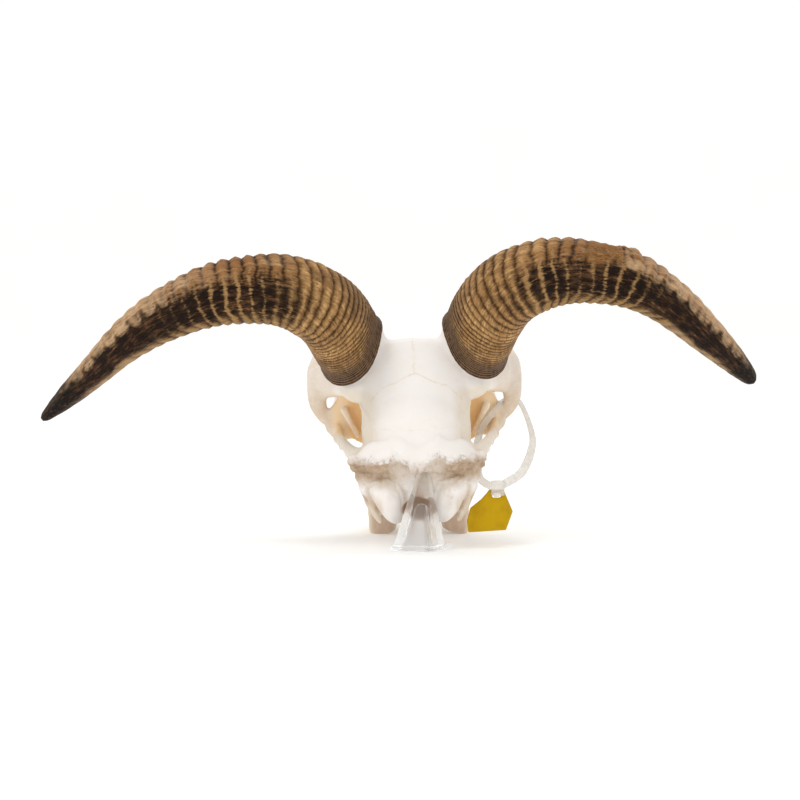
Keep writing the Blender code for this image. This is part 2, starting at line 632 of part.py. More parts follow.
def horn(name, table, group, grow=0.0, rows_used=None, count=14):
    """Skin one horn with its growth rings; grow widens it for use as a cutter."""
    hand = -1 if table[0][0] < 0 else 1
    rows = spline(table, 4)
    lengths = [0.0]
    for start, end in zip(rows, rows[1:]):
        lengths.append(lengths[-1] + (Vector(end[:3]) - Vector(start[:3])).length)
    rings = []
    for index, row in enumerate(rows[:rows_used]):
        ahead = rows[min(index + 1, len(rows) - 1)]
        back = rows[max(index - 1, 0)]
        along = (Vector(ahead[:3]) - Vector(back[:3])).normalized()
        share = lengths[index] / lengths[-1]
        turn = Matrix.Rotation(-hand * HORN_TWIST * max(0.0, 1 - share * 3), 3, along)
        side = turn @ along.cross(Vector((0, 1, 0))).normalized()
        rise = side.cross(along).normalized()
        groove = groove_at(share)
        centre = Vector(row[:3]) - along * (grow if index == 0 else 0.0)
        ring = []
        for step in range(count):
            angle = 2 * pi * step / count
            deep = row[4] if sin(angle) >= 0 else row[5]
            keel = groove * (1.0 + HORN_KEEL * cos(3 * (angle - hand * 0.35) + pi / 2))
            x = (row[3] + grow) * cos(angle) * keel
            y = (deep + grow) * sin(angle) * keel
            ring.append(centre + side * x + rise * y)
        rings.append(ring)
    return loft(name, rings, group)


# --- stand, strap and tag --------------------------------------------------------------

def rounded_rectangle(width, depth, corner, height, shift, count=5):
    """Return a ring: a rounded rectangle turned like the post."""
    turn = Matrix.Rotation(POST_TURN, 3, "Z")
    ring = []
    for index, (sx, sy) in enumerate(((1, 1), (-1, 1), (-1, -1), (1, -1))):
        for step in range(count):
            angle = (index + step / (count - 1)) * pi / 2
            x = sx * (width / 2 - corner) + corner * cos(angle)
            y = sy * (depth / 2 - corner) + corner * sin(angle)
            place = turn @ Vector((x, y, 0))
            ring.append(Vector((place.x + shift, place.y, height)))
    return ring


def stand_post(name, group, grow=0.0):
    """Clear tapered post on a rounded flange; grow widens it for use as a cutter."""
    wide = 2 * grow
    top = POST_HEIGHT + grow
    tip = POST_SHIFT + POST_LEAN
    width = FLANGE_WIDTH + wide
    depth = FLANGE_DEPTH + wide
    base = POST_BASE + wide
    narrow = POST_TOP + wide
    return loft(name, [
        rounded_rectangle(width, depth, FLANGE_CORNER, 0, 0),
        rounded_rectangle(width, depth, FLANGE_CORNER, FLANGE_THICK, 0),
        rounded_rectangle(base, base, 1.6, FLANGE_THICK + 0.5 + grow, POST_SHIFT),
        rounded_rectangle(narrow, narrow, 1.0, top - 0.8, tip),
        rounded_rectangle(narrow - 1.2, narrow - 1.2, 0.6, top, tip),
    ], group)


def strap_loop(name, group, grow=0.0):
    """Closed flat loop round the right cheek arch; grow widens it for use as a cutter."""
    place = skull_to_world()
    path = [(place @ (spot * MM)) / MM for spot in spline(STRAP_PATH, 2, closed=True)]
    middle = sum(path, Vector()) / len(path)
    rings = []
    for index, spot in enumerate(path):
        along = (path[(index + 1) % len(path)] - path[index - 1]).normalized()
        outward = spot - middle
        outward.y *= 0.35
        wide = (outward - along * outward.dot(along)).normalized()
        thin = along.cross(wide).normalized()
        rings.append(ring_points(spot, wide, thin, STRAP_WIDTH / 2 + grow, STRAP_THICK / 2 + grow, 8, 3.0))
    return loft(name, rings, group, closed=True)


def strap(name, group):
    """Strap loop with its lock block and the tongue that holds the tag."""
    loop = strap_loop(name, group)
    lock = Vector(LOCK_SPOT)
    boolean(loop, slab(lock + Vector(LOCK_LOW), lock + Vector(LOCK_HIGH)), "UNION")
    x, z = TAG_SLOT
    wide, high = TAG_TONGUE_HALF
    tongue = slab((x - wide, lock.y - 1, z - high), (x + wide, TAG_PLANE + 3, z + high))
    return boolean(loop, tongue, "UNION")


def tag_plate(name, group):
    """Flat tag with a bevelled edge and the slot its strap passes through."""
    low = TAG_PLANE - TAG_THICK / 2
    high = TAG_PLANE + TAG_THICK / 2
    plate = loft(name, [[(x, y, z) for x, z in TAG_OUTLINE] for y in (low, high)], group)
    bevel = plate.modifiers.new("edge", "BEVEL")
    bevel.width = TAG_EDGE * MM
    bevel.segments = 1
    bevel.limit_method = "ANGLE"
    apply_modifiers(plate)
    x, z = TAG_SLOT
    wide, tall = TAG_SLOT_HALF
    return boolean(plate, slab((x - wide, low - 5, z - tall), (x + wide, high + 5, z + tall)), "DIFFERENCE")


# --- build -----------------------------------------------------------------------------

def build_bones(group, finish):
    """Model the skull, part it, tip it, and make room for horns, post and strap."""
    placing = skull_to_world()
    bones = part_skull(whole_skull(), group)
    for bone in bones.values():
        bone.data.transform(placing)
    for side in ("left", "right"):
        above_floor = slab((-SKULL_HALF_WIDTH, -60, 0), (SKULL_HALF_WIDTH, 300, 250))
        boolean(bones[f"maxilla_{side}"], above_floor, "INTERSECT")
    cranium = bones["cranium"]
    boolean(cranium, stand_post("post_room", None, GAP), "DIFFERENCE")
    boolean(cranium, strap_loop("strap_room", None, GAP), "DIFFERENCE")
    for table in (HORN_LEFT, HORN_RIGHT):
        room = horn("horn_room", table, None, GAP, HORN_CORE_ROWS)
        room.data.transform(placing)
        boolean(cranium, room, "DIFFERENCE")
    for bone in bones.values():
        dress(keep_largest(bone), finish)


def build_horns(group, finish):
    """Model both horns and tip them with the skull."""
    for name, table in (("horn_left", HORN_LEFT), ("horn_right", HORN_RIGHT)):
        sheath = horn(name, table, group)
        sheath.data.transform(skull_to_world())
        dress(sheath, finish)


def main():
    """Build every part of the mounted skull."""
    clear_file()
    parts = collection("bighorn_ram_skull")
    build_bones(parts, material("bleached_bone", (0.86, 0.82, 0.74), 0.62))
    build_horns(parts, material("horn_sheath", (0.34, 0.24, 0.14), 0.5))
    dress(stand_post("stand_post", parts), material("clear_acrylic", (0.92, 0.94, 0.95), 0.05, 1.0))
    dress(strap("tag_strap", parts), material("strap_nylon", (0.85, 0.86, 0.86), 0.4))
    dress(tag_plate("tag_plate", parts), material("tag_yellow", (0.72, 0.52, 0.02), 0.45))


main()
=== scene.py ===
"""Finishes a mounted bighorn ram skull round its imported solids.

The skull is modelled in its own frame, in millimetres: x to the animal's right, y towards
the nose from the back of the condyles, z up from the chewing plane. It is parted along its
sutures, tipped, and set down on the stand post in the shared frame, in metres.
"""
import logging
from dataclasses import dataclass
from enum import Enum
from math import cos, pi, radians, sin
from typing import Any, Iterable, Optional, Sequence, Union

import bmesh
import bpy
import numpy as np
from mathutils import Matrix, Vector, noise
from mathutils.bvhtree import BVHTree

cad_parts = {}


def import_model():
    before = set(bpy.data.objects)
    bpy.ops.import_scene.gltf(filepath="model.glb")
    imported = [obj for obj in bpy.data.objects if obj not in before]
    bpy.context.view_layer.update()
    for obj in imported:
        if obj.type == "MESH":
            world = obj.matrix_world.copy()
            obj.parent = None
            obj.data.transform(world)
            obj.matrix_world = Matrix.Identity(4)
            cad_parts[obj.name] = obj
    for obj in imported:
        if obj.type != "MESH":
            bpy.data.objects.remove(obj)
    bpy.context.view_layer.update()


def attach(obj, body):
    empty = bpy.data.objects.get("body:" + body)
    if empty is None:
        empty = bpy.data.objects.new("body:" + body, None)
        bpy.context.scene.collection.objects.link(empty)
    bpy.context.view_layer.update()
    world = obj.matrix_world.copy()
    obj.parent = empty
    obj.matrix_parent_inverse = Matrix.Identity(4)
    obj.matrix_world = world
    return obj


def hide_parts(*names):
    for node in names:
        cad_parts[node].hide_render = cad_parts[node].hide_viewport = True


MM = 0.001
LOG = logging.getLogger("ram_skull")

Rows = tuple[tuple[float, ...], ...]
Spot = tuple[float, float, float]
Shape = bpy.types.Object


class Side(Enum):
    """The two hands of the animal; the value is the sign of x."""

    LEFT = -1
    RIGHT = 1

    @property
    def label(self) -> str:
        """Return the word that piece names end with."""
        return self.name.lower()


class Cut(Enum):
    """Boolean operations."""

    AWAY = "DIFFERENCE"
    WITHIN = "INTERSECT"
    ONTO = "UNION"


# --- numbers ---------------------------------------------------------------------------


def linear(shade: str) -> tuple[float, float, float, float]:
    """Turn a written sRGB shade into linear colour.

    Args:
        shade: Six hex digits after a hash.

    Returns:
        Linear red, green, blue and an alpha of 1.
    """
    parts = [int(shade[i:i + 2], 16) / 255 for i in (1, 3, 5)]
    red, green, blue = [p / 12.92 if p <= 0.04045 else ((p + 0.055) / 1.055) ** 2.4 for p in parts]
    return red, green, blue, 1.0


def spline(rows: Sequence[Sequence[float]], steps: int, closed: bool = False) -> np.ndarray:
    """Run a Catmull-Rom curve through rows of numbers.

    Args:
        rows: Knots, each a row of any length.
        steps: Points for each span.
        closed: Whether the last knot leads back to the first.

    Returns:
        The points as an array, one row each.
    """
    knots = np.array(rows, float)
    if closed:
        knots = np.vstack([knots[-1:], knots, knots[:2]])
    else:
        knots = np.vstack([2 * knots[0] - knots[1], knots, 2 * knots[-1] - knots[-2]])
    share = (np.arange(steps) / steps)[:, None]
    spans = []
    for index in range(1, len(knots) - 2):
        p0, p1, p2, p3 = knots[index - 1:index + 3]
        spans.append(0.5 * (2 * p1 + (p2 - p0) * share + (2 * p0 - 5 * p1 + 4 * p2 - p3) * share ** 2
                            + (3 * p1 - p0 - 3 * p2 + p3) * share ** 3))
    line = np.vstack(spans)
    return line if closed else np.vstack([line, knots[-2:-1]])


def ease(values: np.ndarray, low: float, high: float) -> np.ndarray:
    """Return 0 below low, 1 above high and a smooth step between them."""
    share = np.clip((np.asarray(values, float) - low) / (high - low), 0, 1)
    return share * share * (3 - 2 * share)


def ripple(points: np.ndarray, size: float, octaves: int = 3, shift: Spot = (0, 0, 0)) -> np.ndarray:
    """Return fractal noise at points.

    Args:
        points: One row for each point.
        size: Width of the largest features, in the points' units.
        octaves: Number of octaves.
        shift: Where in the noise the pattern starts.

    Returns:
        One value for each point, about -1 to 1.
    """
    spots = points / size + np.array(shift)
    return np.array([noise.fractal(Vector(spot), 1.0, 2.0, octaves) for spot in spots])


# --- meshes ----------------------------------------------------------------------------


def add_object(name: str, bm: bmesh.types.BMesh) -> Shape:
    """Turn a bmesh into an object with its faces outwards.

    Args:
        name: The object's name.
        bm: The mesh, which is freed.

    Returns:
        The new object.
    """
    bmesh.ops.recalc_face_normals(bm, faces=bm.faces)
    mesh = bpy.data.meshes.new(name)
    bm.to_mesh(mesh)
    bm.free()
    obj = bpy.data.objects.new(name, mesh)
    bpy.context.scene.collection.objects.link(obj)
    return obj


def loft(name: str, rings: Sequence[np.ndarray], closed: bool = False, capped: bool = True) -> Shape:
    """Skin rings of equal count, given in millimetres.

    Args:
        name: The object's name.
        rings: Arrays of points, one for each ring.
        closed: Whether the last ring joins the first.
        capped: Whether an open skin gets its two end faces.

    Returns:
        The skinned body.
    """
    bm = bmesh.new()
    row = list(bmesh.ops.create_circle(bm, segments=len(rings[0]), radius=1.0)["verts"])
    first = list(bm.edges)
    edges = first
    for vert, spot in zip(row, rings[0]):
        vert.co = Vector(spot) * MM
    for ring in rings[1:]:
        made = bmesh.ops.extrude_edge_only(bm, edges=edges)["geom"]
        fresh = {item for item in made if isinstance(item, bmesh.types.BMVert)}
        edges = [item for item in made if isinstance(item, bmesh.types.BMEdge) and set(item.verts) <= fresh]
        above = {edge.other_vert(vert): vert for vert in fresh for edge in vert.link_edges}
        row = [above[vert] for vert in row]
        for vert, spot in zip(row, ring):
            vert.co = Vector(spot) * MM
    if closed:
        bmesh.ops.bridge_loops(bm, edges=first + edges)
    elif capped:
        bmesh.ops.contextual_create(bm, geom=first)
        bmesh.ops.contextual_create(bm, geom=edges)
    return add_object(name, bm)


def superellipse(half_width: float, half_height: float, count: int, power: float) -> np.ndarray:
    """Work out the points of a superellipse.

    Args:
        half_width: Half its extent along x.
        half_height: Half its extent along y.
        count: How many points it has.
        power: Its squareness, 2 for an ellipse.

    Returns:
        One row of x and y for each point.
    """
    angle = 2 * pi * np.arange(count) / count
    c, s = np.cos(angle), np.sin(angle)
    x = half_width * np.abs(c) ** (2 / power) * np.sign(c)
    y = half_height * np.abs(s) ** (2 / power) * np.sign(s)
    return np.stack([x, y], 1)


def sweep(stations: Sequence[Sequence[float]], up: Spot = (0, 0, 1), steps: int = 8, count: int = 24,
          power: float = 2.0) -> Shape:
    """Skin a bar of changing section.

    Args:
        stations: Rows of x, y, z, half width and half height.
        up: Direction that half heights lean towards.
        steps: Rings for each span.
        count: Points round the section.
        power: Squareness of the section, 2 for an ellipse.

    Returns:
        The bar.
    """
    rows = spline(stations, steps)
    rings = []
    for index, row in enumerate(rows):
        ahead = rows[min(index + 1, len(rows) - 1)]
        back = rows[max(index - 1, 0)]
        along = Vector(ahead[:3] - back[:3]).normalized()
        side = along.cross(Vector(up)).normalized()
        rise = side.cross(along).normalized()
        flat = superellipse(row[3], row[4], count, power)
        rings.append(row[:3] + flat[:, :1] * np.array(side) + flat[:, 1:] * np.array(rise))
    return loft("sweep", rings)


def trunk(table: Rows, count: int = 64, steps: int = 6) -> Shape:
    """Skin a body across y.

    Args:
        table: Rows of y, z low, z high, half width low and high, and squareness.
        count: Points round the section.
        steps: Rings for each span.

    Returns:
        The body.
    """
    rings = []
    for y, low, high, half_low, half_high, power in spline(table, steps):
        reach = (high - low) / 2
        flat = superellipse(1.0, reach, count, power)
        share = (flat[:, 1] + reach) / (2 * reach)
        width = flat[:, 0] * (half_low + (half_high - half_low) * share)
        rings.append(np.stack([width, np.full(count, y), (low + high) / 2 + flat[:, 1]], 1))
    return loft("trunk", rings)


def ellipsoid(centre: Spot, radii: Spot, turn: Spot = (0, 0, 0), segments: int = 48) -> Shape:
    """Make an ellipsoid.

    Args:
        centre: Its middle, in millimetres.
        radii: Its three radii, in millimetres.
        turn: Degrees it is turned about x, y and z, in that order.
        segments: Faces round it.

    Returns:
        The ellipsoid.
    """
    bm = bmesh.new()
    bmesh.ops.create_uvsphere(bm, u_segments=segments, v_segments=segments // 2, radius=1.0)
    spin = Matrix.Identity(4)
    for axis, angle in zip("XYZ", turn):
        spin = Matrix.Rotation(radians(angle), 4, axis) @ spin
    size = Matrix.Diagonal((*(Vector(radii) * MM), 1.0))
    bmesh.ops.transform(bm, matrix=Matrix.Translation(Vector(centre) * MM) @ spin @ size, verts=bm.verts)
    return add_object("ellipsoid", bm)


def slab(low: Sequence[float], high: Sequence[float]) -> Shape:
    """Make a box.

    Args:
        low: Its low corner, in millimetres.
        high: Its high corner.

    Returns:
        The box.
    """
    low_corner, high_corner = Vector(low) * MM, Vector(high) * MM
    bm = bmesh.new()
    bmesh.ops.create_cube(bm, size=1.0)
    size = Matrix.Diagonal((*(high_corner - low_corner), 1.0))
    middle = Matrix.Translation((low_corner + high_corner) / 2)
    bmesh.ops.transform(bm, matrix=middle @ size, verts=bm.verts)
    return add_object("slab", bm)


def above_floor() -> Shape:
    """Return the room over the floor, which keeps what rests on it from sinking in."""
    return slab((-90, -60, 0), (90, 300, 250))


def copied(obj: Shape) -> bmesh.types.BMesh:
    """Copy an object's mesh.

    Args:
        obj: The object.

    Returns:
        The copy, as a bmesh.
    """
    bm = bmesh.new()
    bm.from_mesh(obj.data)
    return bm


def mirrored(obj: Shape) -> Shape:
    """Mirror a right-hand shape.

    Args:
        obj: The shape, which stays.

    Returns:
        Its left-hand copy.
    """
    bm = copied(obj)
    bmesh.ops.scale(bm, vec=(-1, 1, 1), verts=bm.verts)
    return add_object("mirrored", bm)


def duplicate(obj: Shape, name: str) -> Shape:
    """Copy an object and its mesh.

    Args:
        obj: The object.
        name: The copy's name.

    Returns:
        The copy.
    """
    twin = bpy.data.objects.new(name, obj.data.copy())
    bpy.context.scene.collection.objects.link(twin)
    return twin


def both(*shapes: Shape) -> list[Shape]:
    """Return right-hand shapes with their left-hand copies."""
    return [*shapes, *[mirrored(shape) for shape in shapes]]


def join(name: str, shapes: Iterable[Shape]) -> Shape:
    """Join loose shapes into one object.

    Args:
        name: The object's name.
        shapes: The shapes, which are removed.

    Returns:
        The object.
    """
    bm = bmesh.new()
    for shape in shapes:
        bm.from_mesh(shape.data)
        bpy.data.objects.remove(shape, do_unlink=True)
    return add_object(name, bm)


def put_back(bm: bmesh.types.BMesh, obj: Shape) -> None:
    """Give an object an edited bmesh, which is freed."""
    bm.to_mesh(obj.data)
    bm.free()


def tree_of(obj: Shape) -> BVHTree:
    """Return a mesh as a tree that rays are cast at."""
    return BVHTree.FromPolygons([vert.co.copy() for vert in obj.data.vertices],
                                [tuple(face.vertices) for face in obj.data.polygons])


def finish_modifiers(obj: Shape) -> Shape:
    """Replace an object's mesh by its evaluated mesh and drop the modifiers.

    Args:
        obj: The object.

    Returns:
        The same object.
    """
    graph = bpy.context.evaluated_depsgraph_get()
    graph.update()
    baked = bpy.data.meshes.new_from_object(obj.evaluated_get(graph))
    obj.modifiers.clear()
    old = obj.data
    obj.data = baked
    bpy.data.meshes.remove(old)
    return obj


def boolean(obj: Shape, cutter: Shape, cut: Cut, solver: str = "MANIFOLD") -> Shape:
    """Apply a Boolean and remove the second shape.

    Args:
        obj: The shape that is changed.
        cutter: The other shape.
        cut: What is done with it.
        solver: Which of Blender's solvers does it.

    Returns:
        The changed shape.
    """
    modifier = obj.modifiers.new("cut", "BOOLEAN")
    modifier.operation = cut.value
    modifier.solver = solver
    modifier.object = cutter
    finish_modifiers(obj)
    bpy.data.objects.remove(cutter, do_unlink=True)
    return obj


def remesh(obj: Shape, voxel: float) -> Shape:
    """Merge overlapping closed shapes into one skin.

    Args:
        obj: The shapes, in one object.
        voxel: Grain of the skin, in millimetres.

    Returns:
        The same object.
    """
    modifier = obj.modifiers.new("merge", "REMESH")
    modifier.mode = "VOXEL"
    modifier.voxel_size = voxel * MM
    return finish_modifiers(obj)


def relax(obj: Shape, factor: float, repeats: int, weights: Optional[np.ndarray] = None) -> Shape:
    """Relax a mesh.

    Args:
        obj: The object.
        factor: How far each step moves a vertex towards its neighbours.
        repeats: Number of steps.
        weights: A weight for each vertex, None for the whole mesh.

    Returns:
        The same object.
    """
    modifier = obj.modifiers.new("relax", "SMOOTH")
    modifier.factor = factor
    modifier.iterations = repeats
    if weights is not None:
        group = obj.vertex_groups.new(name="relax")
        for index in np.flatnonzero(weights > 0.02):
            group.add([int(index)], float(weights[index]), "REPLACE")
        modifier.vertex_group = group.name
    finish_modifiers(obj)
    obj.vertex_groups.clear()
    return obj


def reduce(obj: Shape, triangles: int) -> Shape:
    """Bring a mesh down to at most a number of triangles.

    Args:
        obj: The object.
        triangles: That number.

    Returns:
        The same object.
    """
    bm = copied(obj)
    bmesh.ops.triangulate(bm, faces=bm.faces)
    put_back(bm, obj)
    if len(obj.data.polygons) <= triangles:
        return obj
    modifier = obj.modifiers.new("reduce", "DECIMATE")
    modifier.ratio = triangles / len(obj.data.polygons)
    return finish_modifiers(obj)


def keep_largest(obj: Shape) -> Shape:
    """Drop the loose slivers a cut leaves beside the main body.

    Args:
        obj: The object.

    Returns:
        The same object.
    """
    bm = copied(obj)
    todo = set(bm.verts)
    bodies = []
    while todo:
        stack = [todo.pop()]
        body = set(stack)
        while stack:
            for edge in stack.pop().link_edges:
                fresh = set(edge.verts) - body
                body |= fresh
                stack += fresh
        todo -= body
        bodies.append(body)
    for body in sorted(bodies, key=len)[:-1]:
        bmesh.ops.delete(bm, geom=list(body), context="VERTS")
    put_back(bm, obj)
    return obj


def spots_of(obj: Shape) -> np.ndarray:
    """Read where a mesh's vertices are.

    Args:
        obj: The mesh's object.

    Returns:
        One row for each vertex, in metres.
    """
    flat = np.empty(len(obj.data.vertices) * 3)
    obj.data.vertices.foreach_get("co", flat)
    return flat.reshape(-1, 3)


def normals_of(obj: Shape) -> np.ndarray:
    """Read a mesh's vertex normals.

    Args:
        obj: The mesh's object.

    Returns:
        One row for each vertex.
    """
    flat = np.empty(len(obj.data.vertices) * 3)
    obj.data.vertex_normals.foreach_get("vector", flat)
    return flat.reshape(-1, 3)


def place_spots(obj: Shape, spots: np.ndarray) -> None:
    """Move a mesh's vertices to new places in metres."""
    obj.data.vertices.foreach_set("co", np.ascontiguousarray(spots).ravel())
    obj.data.update()


def store(obj: Shape, name: str, values: np.ndarray) -> None:
    """Keep a named attribute on a mesh.

    Args:
        obj: The mesh's object.
        name: The attribute's name.
        values: A number or a vector for each vertex.
    """
    kind, key = ("FLOAT", "value") if values.ndim == 1 else ("FLOAT_VECTOR", "vector")
    attribute = obj.data.attributes.new(name, kind, "POINT")
    attribute.data.foreach_set(key, np.ascontiguousarray(values, dtype=np.float32).ravel())


def openness(obj: Shape, shelter: BVHTree, reach: float, rays: int) -> np.ndarray:
    """Measure how much of the sky above each vertex is free.

    Args:
        obj: The mesh whose vertices are measured.
        shelter: What can stand in the way.
        reach: How far a ray goes, in metres.
        rays: Directions on the whole sphere.

    Returns:
        A share for each vertex, 1 where nothing is in the way.
    """
    turn = pi * (3 - 5 ** 0.5)
    fan = []
    for index in range(rays):
        z = 1 - 2 * (index + 0.5) / rays
        flat = (1 - z * z) ** 0.5
        fan.append(Vector((flat * cos(turn * index), flat * sin(turn * index), z)))
    free = np.ones(len(obj.data.vertices))
    for index, (spot, normal) in enumerate(zip(spots_of(obj), normals_of(obj))):
        up = Vector(normal)
        start = Vector(spot) + up * 0.0012
        total = clear = 0.0
        for way in fan:
            lean = way.dot(up)
            if lean > 0.15:
                total += lean
                if shelter.ray_cast(start, way, reach)[0] is None:
                    clear += lean
        free[index] = clear / total
    return free


def publish(obj: Shape, finish: "Finish", slot: str, *nodes: str, angle: Optional[float] = None) -> Shape:
    """Dress a finished piece and tie it to the shared frame.

    Args:
        obj: The piece.
        finish: What it is dressed in.
        slot: The record's material slot; not used.
        nodes: The solids it stands for.
        angle: Edges sharper than this many degrees stay sharp; None keeps all smooth.

    Returns:
        The piece.
    """
    obj.data.materials.clear()
    obj.data.materials.append(finish.material())
    obj.data.polygons.foreach_set("use_smooth", [True] * len(obj.data.polygons))
    if angle is not None:
        obj.data.set_sharp_from_angle(angle=radians(angle))
    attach(obj, "root")
    if nodes:
        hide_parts(*nodes)
    LOG.info("%s: %d vertices", obj.name, len(obj.data.vertices))
    return obj


# --- shader arithmetic -----------------------------------------------------------------

Value = Union["Sock", float]


class Sock:
    """A shader value that can be written into arithmetic."""

    def __init__(self, graph: "Graph", socket: bpy.types.NodeSocket) -> None:
        """Wrap an output socket of a graph."""
        self.graph = graph
        self.socket = socket

    def math(self, operation: str, *others: Value, clamp: bool = False) -> "Sock":
        """Add a Math node.

        Args:
            operation: The node's operation.
            others: Its further inputs.
            clamp: Whether the result is kept within 0 and 1.

        Returns:
            The result.
        """
        inputs = dict(enumerate((self, *others)))
        return self.graph.node("ShaderNodeMath", {"operation": operation, "use_clamp": clamp}, inputs)

    def flipped(self, operation: str, other: float) -> "Sock":
        """Add a Math node with a number as its first input."""
        return self.graph.node("ShaderNodeMath", {"operation": operation}, {0: other, 1: self})

    def __add__(self, other: Value) -> "Sock":
        """Return the sum."""
        return self.math("ADD", other)

    __radd__ = __add__

    def __sub__(self, other: Value) -> "Sock":
        """Return the difference."""
        return self.math("SUBTRACT", other)

    def __rsub__(self, other: float) -> "Sock":
        """Return a number less this value."""
        return self.flipped("SUBTRACT", other)

    def __mul__(self, other: Value) -> "Sock":
        """Return the product."""
        return self.math("MULTIPLY", other)

    __rmul__ = __mul__

    def clamp(self) -> "Sock":
        """Keep the value within 0 and 1."""
        return self.math("ADD", 0.0, clamp=True)

    def least(self, other: Value) -> "Sock":
        """Return the smaller of two values."""
        return self.math("MINIMUM", other)

    def size(self) -> "Sock":
        """Return the value without its sign."""
        return self.math("ABSOLUTE")

    def ease(self, low: float, high: float) -> "Sock":
        """Step smoothly from 0 to 1.

        Args:
            low: Where the step is 0; it may be above high.
            high: Where the step is 1.

        Returns:
            The step.
        """
        start, end = (low, high) if low < high else (high, low)
        low_out, high_out = (0.0, 1.0) if low < high else (1.0, 0.0)
        return self.graph.node("ShaderNodeMapRange", {"interpolation_type": "SMOOTHSTEP"},
                               {"Value": self, "From Min": start, "From Max": end,
                                "To Min": low_out, "To Max": high_out})


class Graph:
    """Builds one material's nodes."""

    def __init__(self, name: str) -> None:
        """Start an empty material.

        Args:
            name: Its name.
        """
        self.made = bpy.data.materials.new(name)
        self.made.use_nodes = True
        self.tree = self.made.node_tree
        self.tree.nodes.clear()

    def node(self, kind: str, settings: Optional[dict[str, Any]] = None,
             inputs: Optional[dict[Any, Any]] = None, output: Any = 0) -> Sock:
        """Add a node.

        Args:
            kind: The node's type.
            settings: Its properties, which are set first.
            inputs: Its sockets by name or number, each with a value or a link.
            output: The output that is returned.

        Returns:
            That output.
        """
        node = self.tree.nodes.new(kind)
        for key, value in (settings or {}).items():
            setattr(node, key, value)
        for key, value in (inputs or {}).items():
            if isinstance(value, Sock):
                self.tree.links.new(value.socket, node.inputs[key])
            else:
                node.inputs[key].default_value = value
        return Sock(self, node.outputs[output])

    def spots(self, scale: Spot = (1, 1, 1), place: Optional[Matrix] = None) -> Sock:
        """Return Object coordinates in millimetres.

        Args:
            scale: Stretch of the pattern along each axis.
            place: Matrix from the pattern's frame to the shared frame, None for the same.

        Returns:
            The coordinates.
        """
        here = self.node("ShaderNodeTexCoord", output="Object")
        if place is not None:
            back = place.inverted()
            turn = back.to_euler()
            here = self.node("ShaderNodeMapping", {"vector_type": "POINT"},
                             {"Vector": here, "Location": back.translation, "Rotation": turn})
        return self.stretched(here, tuple(part / MM for part in scale))

    def stretched(self, vector: Sock, scale: Spot) -> Sock:
        """Return a vector with each of its parts scaled."""
        return self.node("ShaderNodeMapping", {"vector_type": "POINT"}, {"Vector": vector, "Scale": scale})

    def held(self, name: str, output: str = "Fac") -> Sock:
        """Return an attribute kept on the mesh."""
        return self.node("ShaderNodeAttribute", {"attribute_name": name}, output=output)

    def parts(self, vector: Sock) -> tuple[Sock, Sock, Sock]:
        """Split a vector.

        Args:
            vector: The vector.

        Returns:
            Its x, y and z.
        """
        split = self.node("ShaderNodeSeparateXYZ", inputs={0: vector})
        outputs = split.socket.node.outputs
        return tuple(Sock(self, outputs[index]) for index in range(3))

    def cloud(self, vector: Sock, size: float, detail: float = 3.0, rough: float = 0.5) -> Sock:
        """Return noise whose main features are size wide in the vector's units."""
        return self.node("ShaderNodeTexNoise", {"noise_dimensions": "3D"},
                         {"Vector": vector, "Scale": 1.0 / size, "Detail": detail, "Roughness": rough})

    def swing(self, vector: Sock, size: float, detail: float = 4.0, rough: float = 0.65) -> Sock:
        """Return noise that swings about 0, mostly between -1 and 1."""
        return (self.cloud(vector, size, detail, rough) - 0.5) * 7.0

    def cells(self, vector: Sock, size: float) -> Sock:
        """Return the distance in a cell pattern whose cells are size wide."""
        return self.node("ShaderNodeTexVoronoi", {"feature": "F1"},
                         {"Vector": vector, "Scale": 1.0 / size}, output="Distance")

    def mix(self, low: Union[Sock, str], high: Union[Sock, str], factor: Value) -> Sock:
        """Mix two colours, each a link or a written shade.

        Args:
            low: Colour at factor 0.
            high: Colour at factor 1.
            factor: The share of the second colour.

        Returns:
            The mixed colour.
        """
        low = linear(low) if isinstance(low, str) else low
        high = linear(high) if isinstance(high, str) else high
        return self.node("ShaderNodeMix", {"data_type": "RGBA", "blend_type": "MIX", "clamp_factor": True},
                         {0: factor, 6: low, 7: high}, output=2)

    def bump(self, height: Sock, reach: float, strength: float = 1.0) -> Sock:
        """Return a normal raised by a height field.

        Args:
            height: The height, about 0 to 1.
            reach: What a height of 1 stands for, in millimetres.
            strength: Strength of the bump.

        Returns:
            The normal.
        """
        inputs = {"Height": height, "Distance": reach * MM, "Strength": strength}
        return self.node("ShaderNodeBump", inputs=inputs)

    def surface(self, **sockets: Any) -> bpy.types.Material:
        """Close the material with a Principled shader.

        Args:
            sockets: Its inputs, with underscores for spaces.

        Returns:
            The material.
        """
        inputs = {key.replace("_", " "): value for key, value in sockets.items()}
        shader = self.node("ShaderNodeBsdfPrincipled", inputs=inputs)
        out = self.tree.nodes.new("ShaderNodeOutputMaterial")
        self.tree.links.new(shader.socket, out.inputs["Surface"])
        return self.made


# --- finishes --------------------------------------------------------------------------


class Finish:
    """Something a piece is dressed in."""

    def material(self) -> bpy.types.Material:
        """Return the material."""
        raise NotImplementedError


